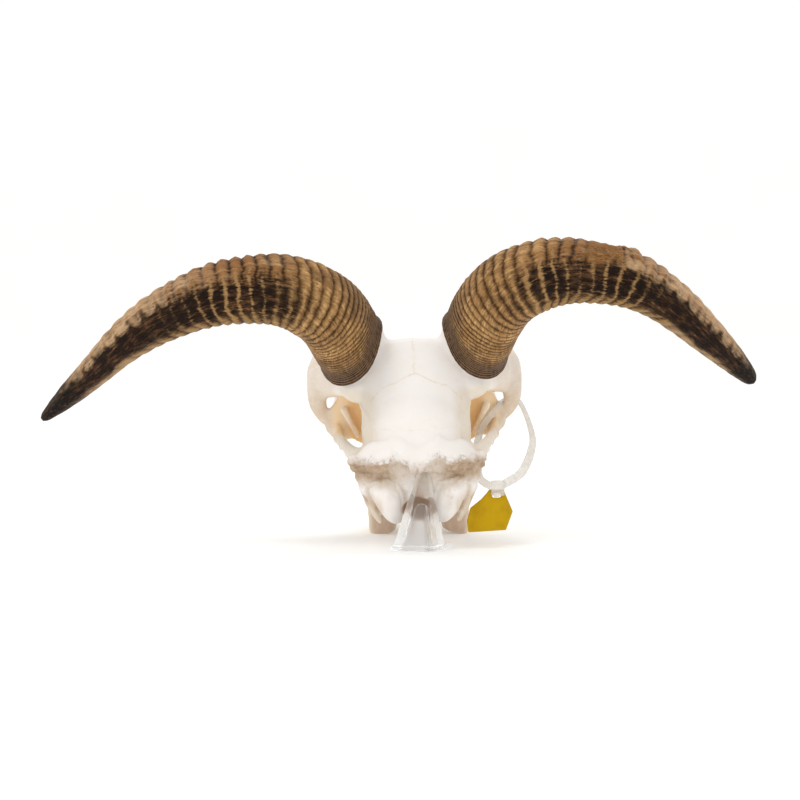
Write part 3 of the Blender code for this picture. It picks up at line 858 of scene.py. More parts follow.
@dataclass(frozen=True)
class BoneFinish(Finish):
    """Bleached dry bone with faint closed sutures and grime along its crest, and painted shade: cream in
    hollows, tan and orange in the temples for shade and light through thin bone, greyer under its crest.
    """

    place: Matrix
    name: str = "bleached_bone"
    bleached: str = "#f6f1ec"
    cream: str = "#f1e7da"
    suture: str = "#dcc09a"
    pore: str = "#b08a66"
    dirt: str = "#a98e74"
    # Zones of painted shade: band and ear on side-facing bone and the paracondylar tongues, fossa and deep in
    # the temples as shade and light through thin bone, under beneath the crest and round the condyles, plate
    # on the rear of the maxilla, pit in small holes; pink lines the foramen magnum.
    zones: tuple[tuple[str, str], ...] = (
        ("band", "#ece1d1"), ("ear", "#dcc9b2"), ("fossa", "#f1d6ae"), ("deep", "#efc48a"),
        ("under", "#c2aa90"),
        ("pink", "#e6cbb0"), ("plate", "#cdb5a0"), ("pit", "#8a5a38"),
    )

    def sutures(self, g: Graph, spots: Sock) -> Sock:
        """Find where the closed sutures of the braincase run: one along it, two across.

        Args:
            g: The material's nodes.
            spots: Places in the skull's own frame.

        Returns:
            A share, 1 on a suture.
        """
        x, y, z = g.parts(spots)
        zigzag = g.swing(spots, 1.5, 3.0)
        drift = g.swing(spots, 7.0, 2.0)
        middle = (x + 0.2 + zigzag * 0.45 + drift * 0.3).size().ease(0.42, 0.08)
        middle = middle * y.ease(35.0, 38.0) * z.ease(95.0, 100.0)
        bow = 36.5 - x.size().least(11.0) * 0.26
        across = (y - bow + zigzag * 0.22 + drift * 0.35).size().ease(0.42, 0.08)
        across = across * z.ease(92.0, 97.0) * x.size().ease(31.0, 26.0)
        rear = (z - 83.0 + zigzag * 0.3 + drift * 0.6).size().ease(0.4, 0.08)
        rear = rear * x.size().ease(24.0, 16.0) * y.ease(26.0, 20.0)
        worn = g.swing(spots, 5.0, 2.0).ease(-0.9, 0.3)
        return ((middle * 0.6 + across * 0.7 + rear * 0.25) * (0.3 + worn * 0.7)).clamp()

    def material(self) -> bpy.types.Material:
        """Build the bone material.

        Returns:
            The material.
        """
        g = Graph(self.name)
        spots = g.spots(place=self.place)
        free = g.held("free")
        broad = g.swing(spots, 24.0, 3.0, 0.55)
        mottle = g.swing(spots, 4.5, 4.0, 0.6)
        grain = g.swing(spots, 1.4, 3.0, 0.6)
        seam = self.sutures(g, spots)
        # Painted shade: cream where little of the sky is free, with some random tone.
        hollow_shade_and_tone = ((1.0 - free) * 1.2 + broad * 0.18 + mottle * 0.1).clamp()
        colour = g.mix(self.bleached, self.cream, hollow_shade_and_tone.ease(0.0, 0.85))
        # Lay on the zones of painted shade and light, and the pink of the foramen magnum.
        for name, shade in self.zones:
            colour = g.mix(colour, shade, (g.held(name) * (1.0 + mottle * 0.16 + grain * 0.08)).clamp())
        # Grime along the crest and painted shade under its overhang.
        rugged = g.held("rugged")
        dirt = (mottle * 0.5 + g.swing(spots, 2.2, 3.0) * 0.6 + rugged * 0.5).ease(0.35, 1.3) * rugged
        colour = g.mix(colour, self.dirt, dirt * 0.6)
        pores = g.cells(spots, 2.6).ease(0.13, 0.02) * mottle.ease(0.35, 0.9)
        colour = g.mix(colour, self.pore, pores * 0.55)
        colour = g.mix(colour, self.suture, seam * 0.5)
        rough = 0.6 + mottle * 0.03 + grain * 0.02
        height = mottle * 0.05 + grain * 0.035 - seam * 0.2 - pores * 0.4 + rugged * grain * 0.2
        normal = g.bump(height, 0.8, 0.7)
        return g.surface(Base_Color=colour, Roughness=rough, Normal=normal, Specular_IOR_Level=0.25,
                         Subsurface_Weight=0.1, Subsurface_Radius=(0.003, 0.002, 0.0013),
                         Subsurface_Scale=1.0)


@dataclass(frozen=True)
class ToothFinish(Finish):
    """Dry cheek teeth: pale enamel with brown stain in the grooves, and painted shade on the rear of the last
    molars.
    """

    name: str = "stained_enamel"
    enamel: str = "#e6d6ba"
    stain: str = "#7d5a38"
    dentine: str = "#c7a878"
    calm: str = "#cbb09a"

    def material(self) -> bpy.types.Material:
        """Build the tooth material.

        Returns:
            The material.
        """
        g = Graph(self.name)
        free = g.held("free")
        streaks = g.cloud(g.spots((1, 1, 0.25)), 1.6, 4.0, 0.65)
        blotch = g.cloud(g.spots((1, 1, 0.35)), 3.0, 3.0, 0.5)
        stain = ((0.75 - free) * 1.2 + (streaks - 0.5) * 1.6).clamp()
        colour = g.mix(self.enamel, self.dentine, blotch.ease(0.45, 0.85) * 0.7)
        colour = g.mix(colour, self.stain, stain.ease(0.2, 0.9) * 0.7)
        # Painted shade: the rear of the last molars turns pinkish grey.
        colour = g.mix(colour, g.mix(self.calm, self.enamel, blotch.ease(0.35, 0.8) * 0.3), g.held("last"))
        rough = 0.34 + stain * 0.25
        normal = g.bump(streaks, 0.25, 0.5)
        return g.surface(Base_Color=colour, Roughness=rough, Normal=normal, Specular_IOR_Level=0.5)


@dataclass(frozen=True)
class HornFinish(Finish):
    """Ridged horn sheath, dark at the base, golden brown, then dark with pale edges; its ring crests carry
    painted highlights and its grooves painted shade with dirt.
    """

    name: str = "horn_sheath"
    rim: str = "#7a604a"
    rim_groove: str = "#1e140e"
    crest: str = "#ad8352"
    shine: str = "#d9ae75"
    groove: str = "#4a3018"
    dark: str = "#1f120a"
    umber: str = "#5f4026"
    line: str = "#ab8454"
    upper: str = "#96683d"
    pale: str = "#d9b58d"
    upper_groove: str = "#3a2413"
    lower: str = "#a5814f"
    tip: str = "#0f0905"
    worn: str = "#946636"

    def material(self) -> bpy.types.Material:
        """Build the horn material.

        Returns:
            The material.
        """
        g = Graph(self.name)
        upper, _, along = g.parts(g.held("lie", "Vector"))
        wrap = g.held("wrap", "Vector")
        ridge = g.held("ridge")
        line = g.held("line")
        worn = g.held("worn")
        power = g.held("power")
        length_wise = g.stretched(wrap, (1.0, 1.0, 0.2))
        thread = g.swing(length_wise, 1.3)
        strand = g.swing(length_wise, 3.4)
        speck = g.swing(wrap, 1.6)
        waver = g.swing(wrap, 10.0)
        patch = g.swing(g.stretched(wrap, (1.0, 1.0, 0.42)), 6.0)
        grain = thread * 0.6 + speck * 0.4
        hatch = g.swing(g.stretched(wrap, (1.0, 1.0, 0.3)), 1.15, 3.0)
        crest = ridge + grain * 0.2 + (power - 0.5) * 0.3
        # Painted highlight on the ring crests and painted shade with dirt in the grooves; shine is the
        # painted highlight.
        golden = g.mix(self.groove, self.crest, (crest + hatch * 0.2 + patch * 0.12).ease(-0.12, 1.05))
        golden = g.mix(golden, self.shine, (crest + strand * 0.25 + hatch * 0.3).ease(0.76, 1.45) * 0.9)
        golden = g.mix(golden, self.groove, (hatch * 0.8 - grain * 0.5).ease(0.0, 0.9) * 0.72)
        golden = g.mix(golden, self.upper_groove, (waver + patch * 0.4).ease(0.1, 1.1) * 0.45)
        dark = g.mix(self.dark, self.umber, (strand * 0.35 + thread * 0.4 + waver * 0.15).ease(-0.2, 0.8))
        fade = (along + waver * 12.0).ease(152.0, 104.0)
        # Painted highlight along the ring lines of the dark zone.
        lit = line * (0.55 + power * 0.6) + hatch * 0.36 + grain * 0.3 + waver * 0.22 + upper.size() * 0.3
        dark = g.mix(dark, self.line, lit.ease(0.3, 1.3) * fade * 0.9)
        faint = (thread * 0.5 + strand * 0.35 + upper.size() * 0.4).ease(0.7, 1.5)
        dark = g.mix(dark, self.line, faint * 0.55)
        bump = ridge + grain * 0.16 + (power - 0.5) * 0.15
        # Upper edge: painted highlight on the ring crests and painted shade in the grooves.
        top = g.mix(self.upper_groove, self.upper, (bump + hatch * 0.14).ease(0.05, 1.0))
        outer = (along + waver * 12.0).ease(95.0, 150.0)
        top = g.mix(top, self.pale, (outer * 0.62 + strand * 0.3).clamp())
        top = g.mix(top, self.upper_groove, (grain * -1.0 + patch * 0.35).ease(0.25, 1.1) * 0.65)
        # Lower edge: the same painted highlight and shade on the rings.
        low = g.mix(self.groove, self.lower, (ridge * 0.7 + grain * 0.3 + hatch * 0.15).ease(0.05, 0.85))
        outer = (along + waver * 14.0).ease(120.0, 185.0)
        low = g.mix(low, self.pale, (outer * 0.35 + strand * 0.15).clamp())
        rims = g.mix(low, top, upper.ease(-0.2, 0.2))
        reach = upper - 0.03 + patch * 0.09 + strand * 0.05 + grain * 0.05
        reach = reach - (line - 0.2) * 0.2 * upper.ease(0.0, 0.2)
        within = reach.ease(0.76, 0.36) * (reach * -1.0 + patch * 0.2).ease(0.76, 0.48)
        turned = (along + waver * 6.0 + patch * 4.0 + line * -6.0).ease(46.0, 78.0)
        colour = g.mix(golden, rims, (along + waver * 10.0).ease(58.0, 90.0))
        colour = g.mix(colour, dark, (within * turned).clamp())
        scraped = (grain * 1.5 + hatch * 1.2 - patch * 0.5).ease(-0.5, 1.0)
        rubbed = g.mix(self.worn, self.upper_groove, scraped * 0.85)
        rubbed = g.mix(rubbed, self.crest, (thread * 1.0 + hatch * 0.9 + patch * 0.5).ease(0.1, 1.2) * 0.8)
        colour = g.mix(colour, rubbed, (worn * (1.0 + patch * 0.5 + waver * 0.3)).ease(0.2, 0.9) * 0.9)
        tipmost = (along + waver * 6.0 - strand * 3.0).ease(192.0, 222.0)
        colour = g.mix(colour, g.mix(self.tip, self.umber, thread.ease(0.2, 1.2) * 0.6), tipmost * 0.92)
        # Base: dark horn with painted highlight on the ring crests and painted shade in the grooves.
        base_rings_shaded = g.mix(self.rim_groove, self.rim, (ridge + grain * 0.2 + hatch * 0.15).ease(0.2, 1.1))
        corner = upper.ease(0.6, 0.98) * along.ease(60.0, 20.0)
        base = ((along + waver * 3.0).ease(24.0, 5.0) + corner * 0.65).clamp()
        colour = g.mix(colour, base_rings_shaded, base * 0.95)
        rough = 0.55 + thread * 0.04 + speck * 0.03
        normal = g.bump(thread * 0.14 + speck * 0.08 + strand * 0.1 + hatch * 0.16, 1.0, 1.0)
        return g.surface(Base_Color=colour, Roughness=rough, Normal=normal, Specular_IOR_Level=0.1)


@dataclass(frozen=True)
class AcrylicFinish(Finish):
    """Clear moulded acrylic with a few fine scuffs and a painted glow on its edges."""

    name: str = "clear_acrylic"
    tint: str = "#fbfcfd"
    hazy: str = "#f1f4f6"
    frost: str = "#dcd8d7"

    def material(self) -> bpy.types.Material:
        """Build the acrylic material.

        Returns:
            The material.
        """
        g = Graph(self.name)
        spots = g.spots()
        scuff = g.cloud(g.spots((1, 1, 0.2)), 0.8, 4.0, 0.7)
        haze = g.cloud(spots, 6.0, 2.0, 0.5)
        rough = 0.02 + scuff.ease(0.55, 0.8) * 0.1 + haze.ease(0.5, 0.8) * 0.04
        colour = g.mix(self.tint, self.hazy, haze)
        edge = g.node("ShaderNodeLayerWeight", inputs={"Blend": 0.4}, output="Facing").ease(0.35, 0.95)
        frosted = g.held("frosted")
        colour = g.mix(colour, self.frost, frosted * 0.9)
        # Painted glow: emission brightens the edges and, faintly, the hollow.
        glint = g.mix("#000000", self.tint, (edge * (1.0 - frosted * 0.7) + frosted * 0.12).clamp())
        rough = rough + frosted * 0.4
        alpha = edge * 0.4 + frosted * 0.2 + 0.55
        return g.surface(Base_Color=colour, Roughness=rough, Transmission_Weight=1.0, IOR=1.16, Alpha=alpha,
                         Specular_IOR_Level=0.8, Coat_Weight=0.6, Coat_IOR=1.5, Coat_Roughness=0.03,
                         Emission_Color=glint, Emission_Strength=0.3)


@dataclass(frozen=True)
class NylonFinish(Finish):
    """Translucent white nylon of a cable tie."""

    name: str = "strap_nylon"
    white: str = "#efe9e0"
    cloudy: str = "#e0d9ce"

    def material(self) -> bpy.types.Material:
        """Build the nylon material.

        Returns:
            The material.
        """
        g = Graph(self.name)
        cloudy = g.cloud(g.spots(), 3.0, 3.0, 0.5)
        colour = g.mix(self.white, self.cloudy, cloudy.ease(0.35, 0.75))
        rough = 0.28 + cloudy * 0.15
        normal = g.bump(g.cloud(g.spots(), 2.5, 2.0, 0.5), 0.03, 0.3)
        return g.surface(Base_Color=colour, Roughness=rough, Normal=normal, Subsurface_Weight=0.3,
                         Subsurface_Radius=(0.002, 0.002, 0.0022), Subsurface_Scale=1.0, Alpha=0.54)


@dataclass(frozen=True)
class TagFinish(Finish):
    """Worn mustard yellow plastic, bare."""

    name: str = "tag_yellow"
    yellow: str = "#cda400"
    deep: str = "#a87f00"
    scuffed: str = "#8f8405"

    def material(self) -> bpy.types.Material:
        """Build the tag material.

        Returns:
            The material.
        """
        g = Graph(self.name)
        spots = g.spots()
        broad = g.cloud(spots, 9.0, 3.0, 0.5)
        scuff = g.cloud(g.spots((1, 1, 0.4)), 1.2, 4.0, 0.7)
        colour = g.mix(self.yellow, self.deep, broad.ease(0.4, 0.75) * 0.5)
        colour = g.mix(colour, self.scuffed, scuff.ease(0.56, 0.75) * 0.25)
        rough = 0.4 + scuff * 0.2
        normal = g.bump(scuff + broad * 1.5, 0.15, 0.6)
        return g.surface(Base_Color=colour, Roughness=rough, Normal=normal, Specular_IOR_Level=0.16)


@dataclass(frozen=True)
class FloorFinish(Finish):
    """Matt white studio sweep."""

    name: str = "studio_floor"
    white: str = "#fdfdfc"
    shade: str = "#fafaf8"

    def material(self) -> bpy.types.Material:
        """Build the floor material.

        Returns:
            The material.
        """
        g = Graph(self.name)
        broad = g.cloud(g.spots(), 400.0, 2.0, 0.5)
        colour = g.mix(self.white, self.shade, broad)
        return g.surface(Base_Color=colour, Roughness=0.85 + broad * 0.05, Specular_IOR_Level=0.2,
                         Emission_Color=(1.0, 1.0, 1.0, 1.0), Emission_Strength=0.13)


# --- skull -----------------------------------------------------------------------------

Fade = Optional[tuple[float, float]]


@dataclass(frozen=True)
class Region:
    """A soft-edged region: for each axis, the limits it fades in between and out between."""

    side: tuple[Fade, Fade] = (None, None)
    y: tuple[Fade, Fade] = (None, None)
    z: tuple[Fade, Fade] = (None, None)

    def share(self, spots: np.ndarray) -> np.ndarray:
        """Return how far each spot is inside.

        Args:
            spots: Rows of the distance from the middle, y and z, in millimetres.

        Returns:
            A share for each spot, 0 to 1.
        """
        share = np.ones(len(spots))
        for values, (start, end) in zip(spots.T, (self.side, self.y, self.z)):
            if start is not None:
                share = share * ease(values, *start)
            if end is not None:
                share = share * (1 - ease(values, *end))
        return share


@dataclass
class Skull:
    """The bones, modelled whole and parted along the sutures.

    Paired parts are given for the right side. A bar's rows are x, y, z, half width and half
    height of a station, a trunk's rows are those of trunk(), a ball is its centre and radii, and
    a pit's row is its centre and size.
    """

    pitch: float = radians(13.3)
    roll: float = radians(2.0)
    offset: Spot = (-0.1, 2.0, -16.9)
    gap: float = 0.35
    core_grain: float = 1.1
    grain: float = 0.75
    core_relax: tuple[float, int] = (0.6, 22)
    skull_relax: tuple[float, int] = (0.5, 6)
    roof_relax: tuple[float, int] = (0.9, 40)
    orbit_spread: float = 58.2
    frontal_suture: float = 121.0
    nasal_half_width: float = 12.0
    nasal_height: float = 89.0
    nasal_slope: float = -0.348
    face: Rows = (
        (54, 62, 115, 12, 20, 2.6), (74, 56, 118.5, 12, 24, 2.6), (88, 46, 115, 15, 30, 2.6),
        (100, 26, 111.5, 24, 33, 2.7), (112, 20, 106, 30, 29, 2.8), (126, 18.5, 99, 33, 23, 2.8),
        (142, 18, 91.5, 30, 18.5, 2.7), (158, 18, 84, 24, 16, 2.6), (172, 18.5, 76, 19.5, 14, 2.6),
        (186, 19, 66, 17.5, 13, 2.6), (198, 19, 51, 16.5, 14, 2.5), (212, 19, 39, 15, 14, 2.4),
        (226, 18.6, 30, 14, 13, 2.3), (237, 18.4, 24, 10.5, 10, 2.2),
    )
    cheek: Rows = (
        (84, 62, 96, 34, 44, 2.2), (94, 48, 99, 33, 46, 2.3), (104, 38, 97, 32, 43, 2.4),
        (116, 29, 91, 32, 37, 2.5), (128, 24, 83, 31, 28, 2.5), (140, 24, 72, 26, 19, 2.4),
    )
    roof: Rows = (
        (50, 104, 125, 34, 26, 2.3), (60, 96, 124.4, 48, 36, 2.2), (70, 92, 121.8, 60, 42, 2.1),
        (81, 92, 118.6, 66, 44, 2.1), (92, 90, 115, 62, 42, 2.1), (103, 86, 110.6, 50, 36, 2.2),
        (114, 80, 105, 39, 28, 2.3),
    )
    vault: Rows = (
        (4, 61, 72, 31, 27, 2.4), (8, 58, 77.5, 35, 22, 2.5), (14, 55, 84, 35, 22, 2.6),
        (20, 42, 90.5, 35, 23, 2.6), (27, 38, 98.5, 33.5, 26, 2.6), (36, 45, 109, 31, 31, 2.5),
        (45, 54, 119.6, 27, 34, 2.4), (53, 60, 125, 22, 33, 2.4), (61, 66, 123.2, 18, 30, 2.4),
    )
    base: Rows = (
        (0, 19, 32, 9, 5), (0, 34, 38, 11, 9), (0, 52, 47, 9, 12), (0, 70, 54, 9, 11),
        (0, 86, 62, 10, 12),
    )
    braincase: Rows = ((0, 38, 77), (31.5, 30, 25), (32, 0, 0))
    braincase_front: Rows = ((0, 62, 76), (19, 26, 26))
    horn_foot: Rows = ((31, 54, 98), (12, 13, 9))
    ear_ball: Rows = ((28, 22, 62), (8, 12, 11))
    bulla: Rows = ((20, 35, 37), (7, 9.5, 9), (15, 0, 0))
    crest_end: Rows = ((30.5, 13.5, 64), (5.5, 6.5, 5.5))
    pedicle: Rows = (
        (-30, 0.5), (-22, 0.74), (-13, 0.84), (-6, 0.9), (0, 0.9), (6, 0.85), (11, 0.68),
    )
    mastoid: Rows = ((27, 21, 65, 8, 8), (27, 22, 54, 7, 6.5), (25, 24, 43, 5, 5))
    postorbital: Rows = (
        (24, 67, 100, 7, 13), (40, 70, 98, 5, 12), (52, 75, 96, 4.2, 11), (57.5, 77, 92, 3.8, 11),
    )
    brow: Rows = (
        (27, 50, 101, 9, 8), (35, 56, 101, 8, 9), (44, 64, 100, 6.5, 9.5), (53, 73, 97.5, 4.6, 10),
    )
    facial_ridge: Rows = (
        (48, 92, 65, 5.5, 6.5), (42, 106, 61, 5.5, 6.5), (34, 120, 54, 5, 7), (25, 136, 44, 4, 7),
    )
    horn_flank: Rows = (
        (25, 46, 103, 4, 4), (23, 55, 117.5, 9.5, 8), (23.5, 68, 116, 9.5, 8), (24, 80, 108, 8, 8),
    )
    tooth_block: Rows = (
        (21.5, 85, 29, 9.5, 17), (21.5, 90, 28, 11.5, 20), (22, 100, 27, 12, 19), (22.4, 112, 24, 11.5, 14),
        (23, 126, 21.5, 10.8, 9), (21, 148, 21, 8.5, 7), (17, 168, 22, 6, 4.5), (13, 180, 23, 3, 2.5),
    )
    cheek_arch: Rows = (
        (49.5, 87, 67, 4.2, 6), (46, 72, 66.6, 3.0, 5.4), (44.2, 57, 66.6, 2.5, 4.4),
        (41, 44, 66.6, 2.5, 3.7), (37.5, 31, 66.5, 3.4, 4.2), (32, 21, 65, 5, 6),
    )
    arch_nodules: Rows = (
        (46.4, 60, 66.5, 1.8, 2.8, 3.4), (43.2, 50, 64.0, 1.8, 3.0, 2.2), (39.6, 36, 63.4, 1.8, 2.6, 2.0),
        (36.2, 10, 68.0, 3.0, 3.6, 3.2), (35.0, 9.5, 63.5, 2.8, 3.2, 2.6),
    )
    paracondylar: Rows = (
        (29, 13, 62, 7, 7), (29.5, 15.5, 51, 4.4, 6), (27.4, 18.5, 40, 2.6, 5.6),
        (24.8, 21.5, 32, 1.9, 4.6), (22.6, 24, 26.5, 1.3, 2.6),
    )
    premaxilla_prong: Rows = (
        (13, 176, 22, 6, 4), (12.5, 194, 21, 5, 3), (11.5, 212, 20.5, 4.8, 2.6),
        (10, 228, 19.8, 5.4, 2.4), (7.5, 238, 19.2, 5.5, 2.2),
    )
    nasal: Rows = (
        (8.5, 132, 92, 8, 3), (8.5, 150, 85, 8.4, 3.2), (8.2, 170, 77.4, 8.2, 3),
        (7.2, 188, 69.6, 7, 2.6), (5.8, 201, 63.4, 5, 2.2), (4.2, 210, 59.6, 2.6, 1.6),
    )
    crest_edge: Rows = (
        (-36.6, 9, 66.5), (-33, 5, 66.8), (-28.5, 1.4, 68.4), (-24.5, -1.2, 69.6), (-20.3, -3.4, 69.6),
        (-16, -3, 70.6), (-12.5, -0.8, 71.8), (-8.7, -3.8, 70.8), (-4.1, -6.4, 68.2), (0.1, -7.6, 66.2),
        (4.4, -6.6, 68.4), (9, -3.8, 71), (12.5, -2.4, 72), (16.5, -4.8, 69.4), (20.5, -4.4, 68.6),
        (24.5, -1.2, 69.6), (29, 1.8, 68), (33, 5, 66), (36.6, 9, 65),
    )
    crest_section: tuple[tuple[float, float], ...] = (
        (0.2, -1.0), (-0.8, 0.0), (-0.4, 1.4), (2.4, 3.6), (6.5, 6.4), (12, 9.6), (16, 7), (16, -1),
        (7, -1.8), (2.6, -1.6),
    )
    occipital_plate: Rows = (
        (0, 15, 71, 30, 10), (0, 15.5, 65, 31, 10), (0, 17, 58, 31, 10), (0, 18.6, 51, 30, 9.6),
        (0, 21, 44, 28.5, 9.2), (0, 24, 37, 25, 8.6), (0, 27, 31, 19, 7.5),
    )
    condyle: Rows = (
        (19.6, 12.6, 56.6, 3.6, 4.2), (19.4, 10.8, 52, 6.6, 7.8), (17.6, 10, 44.6, 7.3, 8.6),
        (15.9, 11.6, 38.4, 6.2, 7.8), (14.2, 13.6, 34, 4.4, 6.4), (11.8, 16.5, 30.6, 2.2, 4),
    )
    condyle_ridge: Rows = (
        (27.2, 9, 51.5, 1.2, 1.6), (26.0, 7.4, 54.6, 1.5, 1.9), (22.5, 6.2, 56.2, 1.5, 1.9),
        (17.5, 6.0, 56.2, 1.4, 1.8), (13.0, 7, 54.4, 1.0, 1.4),
    )
    temporal_line: Rows = (
        (30, 47, 95, 1.6, 1.6), (29.8, 40, 90.6, 2.0, 1.8), (26.8, 32.2, 86.8, 2.2, 1.8),
        (24.0, 24.4, 81.9, 2.2, 1.8), (23.0, 16.4, 76, 2.2, 1.8), (24.5, 9, 70, 2.0, 1.6),
    )
    orbit_wall: tuple[tuple[float, float], ...] = (
        (26, 92), (43, 91), (45.2, 86.4), (47.8, 82.2), (51.4, 78), (54.5, 75), (50.5, 67), (44, 62.8),
        (40.6, 61.6), (37.2, 63.0), (34.2, 61.2), (26, 58),
    )
    orbit_wall_place: tuple[float, float, float] = (66.0, 0.42, 3.0)
    rod: Rows = (
        (41.8, 69, 82.0, 2.0, 2.0), (41.0, 67, 80.6, 2.3, 2.0), (39.4, 65.5, 77.6, 1.9, 1.8),
        (36.4, 64, 71.6, 1.7, 1.7), (33, 63, 65.6, 1.7, 1.8),
    )
    orbit_hollow: Rows = (
        (79, 107, 89, 23.5, 22.5), (60, 98, 88.5, 18.5, 18.5), (50, 93, 88, 17, 17.5),
        (36, 87, 87, 14.5, 14.5), (22, 80, 86, 9.5, 9.5),
    )
    temporal_hollow: Rows = (
        (44, 24, 76, 9, 8), (45, 40, 77, 12, 12.5), (46, 56, 77, 14, 13), (46, 72, 77, 13, 11),
        (42, 86, 78, 10, 9),
    )
    foramen_magnum: Rows = ((0, -10, 33, 9.6, 8.4), (0, 20, 37, 9.4, 8.2), (0, 31, 41.5, 8, 7.6))
    choanae: Rows = ((0, 60, 38, 8, 6), (0, 84, 38, 8.5, 7.5), (0, 104, 33, 7, 6))
    nasal_hollow: Rows = (
        (0, 262, 37, 10, 15), (0, 226, 38, 9.5, 15), (0, 206, 44, 11.5, 19), (0, 188, 49, 11.5, 18),
        (0, 160, 54, 7, 10),
    )
    temple_gap: Rows = (
        (37.0, 52, 66.2, 3.8, 3.4), (37.2, 78, 58.4, 4.2, 3.8), (37.4, 100, 52, 5, 4.6),
        (38, 125, 44.5, 7, 6), (39, 150, 37, 8, 7),
    )
    incisive_slot: Rows = ((0, 250, 18, 2.6, 14), (0, 205, 18, 3.6, 14), (0, 188, 18, 2.8, 14))
    pits: Rows = (
        (-31.1, 15, 69.4, 1.3), (-24, -3, 65, 1.0), (24.3, -3.3, 65.8, 1.1), (27.4, -1.5, 64.6, 0.9),
        (-30.6, 15.5, 43.5, 2.6), (30.8, 15.5, 42.5, 1.9), (-3.8, -4.5, 63.6, 0.9),
        (7.5, -2.5, 65.4, 0.8),
    )
    cheek_suture: Rows = ((79, -9), (79, 36), (97, 47), (118, 60), (121, 80), (121, 126))
    muzzle_suture: Rows = ((184, -9), (190, 64), (196, 126))
    # Where the bone's zones of painted shade and light lie; pink is the foramen magnum's lining.
    regions: tuple[tuple[str, Region], ...] = (
        ("band", Region(((19, 26), None), ((8, 14), (50, 58)), ((58, 66), (96, 103)))),
        ("fossa", Region(((26, 31), (46, 51)), ((48, 58), (80, 92)), ((56, 61), (88, 93)))),
        ("deep", Region(((25, 29), (35, 41)), ((46, 54), (72, 80)))),
        ("ear", Region(((42, 50), None), (None, (92, 104)), ((54, 62), None))),
        ("tongue", Region(((19, 22), None), (None, (28, 34)), (None, (42, 50)))),
        ("under", Region(y=(None, (13, 22)), z=((49, 60), (65, 72)))),
        ("pink", Region(y=((7, 12), (33, 40)))),
        ("plate", Region(((8, 11), None), ((79, 84), (86, 106)), (None, (34, 48)))),
    )
    rough_region: Region = Region(y=(None, (16, 24)), z=((44, 50), (66, 72)))
    waves: tuple[float, float] = (11.0, 0.25)
    crest_waves: Rows = ((2.3, 1.7), (5.5, 1.4))
    under_waves: tuple[float, float] = (3.6, 0.8)
    pit_depth: float = 1.3
    crest_wear: float = 3.4
    crest_dirt: float = 3.6
    rod_reach: float = 2.6
    tunnel_radii: tuple[float, float] = (9.8, 8.6)
    rays: int = 30
    quick_rays: int = 14
    free_reach: float = 0.03
    proxy_triangles: int = 30000
    most_triangles: int = 196000
    low: float = -9.0
    high: float = 150.0
    back: float = -30.0
    front: float = 252.0
    half_width: float = 90.0

    def placing(self) -> Matrix:
        """Return the matrix from the skull's frame to the shared frame."""
        tip = Matrix.Rotation(-self.roll, 4, "Y") @ Matrix.Rotation(self.pitch, 4, "X")
        return Matrix.Translation(Vector(self.offset) * MM) @ tip

    def own_spots(self, obj: Shape) -> np.ndarray:
        """Return a placed mesh's vertices in the skull's own frame, in millimetres."""
        back = np.array(self.placing().inverted())
        return (spots_of(obj) @ back[:3, :3].T + back[:3, 3]) / MM

    def orbit_rim(self) -> list[tuple[float, ...]]:
        """Work out the bar round the right orbit.

        Returns:
            Its stations.
        """
        s = self.orbit_spread
        return [(s - 6, 91, 107, 3.4, 6.0), (s - 2.2, 81, 102, 3.6, 6.4), (s - 1.3, 76, 90, 3.4, 6.2),
                (s - 2.2, 78, 79, 3.0, 5.4), (s - 8.5, 87, 68.5, 3.2, 5.4), (s - 13, 102, 69, 3.6, 6.0),
                (s - 16, 111, 84, 3.4, 5.0), (s - 13, 104, 101, 3.6, 5.5)]

    def core_shapes(self) -> list[Shape]:
        """Make the shapes that blend into braincase, frontals and face.

        Returns:
            The shapes.
        """
        shapes = [trunk(table) for table in (self.face, self.cheek, self.roof, self.vault)]
        shapes += [
            ellipsoid(*self.braincase),
            ellipsoid(*self.braincase_front),
            sweep(self.base),
        ]
        return shapes + both(
            self.horn_root(),
            ellipsoid(*self.horn_foot),
            sweep(self.mastoid, up=(0, 1, 0)),
            sweep(self.postorbital),
            sweep(self.brow),
            ellipsoid(*self.ear_ball),
            sweep(self.facial_ridge),
            sweep(self.horn_flank),
            sweep(self.tooth_block, count=28, power=2.4),
        )

    def horn_root(self) -> Shape:
        """Make the stub of bone that the right horn sheath sits on.

        Returns:
            The stub.
        """
        rows, run, sides, rises = Horn(Side.RIGHT, HORN_RIGHT, self).frames()
        along = np.cross(rises[0], sides[0])
        along *= np.sign(along @ (rows[4, :3] - rows[0, :3]))
        angle = 2 * pi * np.arange(40) / 40
        rings = []
        for distance, share in self.pedicle:
            at = int(np.searchsorted(run, max(distance, 0.0)))
            middle = rows[at, :3] + along * min(distance, 0.0)
            deep = np.where(np.sin(angle) >= 0, rows[at, 4], rows[at, 5])
            flat = np.stack([rows[at, 3] * np.cos(angle), deep * np.sin(angle)], 1) * share
            rings.append(middle + flat[:, :1] * sides[at] + flat[:, 1:] * rises[at])
        return loft("root", rings)

    def crest_shelf(self) -> Shape:
        """Make the shelf that ends the roof of the skull in a wavy, overhanging edge.

        Returns:
            The shelf.
        """
        section = np.array(self.crest_section)
        rings = []
        for x, y, z in spline(self.crest_edge, 6):
            size = 1 - 0.62 * float(ease(abs(x), 24, 37))
            rings.append(np.array([(x, y + back * size, z + rise * size) for back, rise in section]))
        return loft("crest", rings)

    def back_wall(self) -> Shape:
        """Make the thin wall of bone behind the right eye, seen through the temple.

        Returns:
            The wall.
        """
        start, slant, thick = self.orbit_wall_place
        rings = [np.array([(x, start + slant * (x - 30) + depth, z) for x, z in self.orbit_wall])
                 for depth in (0.0, thick)]
        return loft("wall", rings)

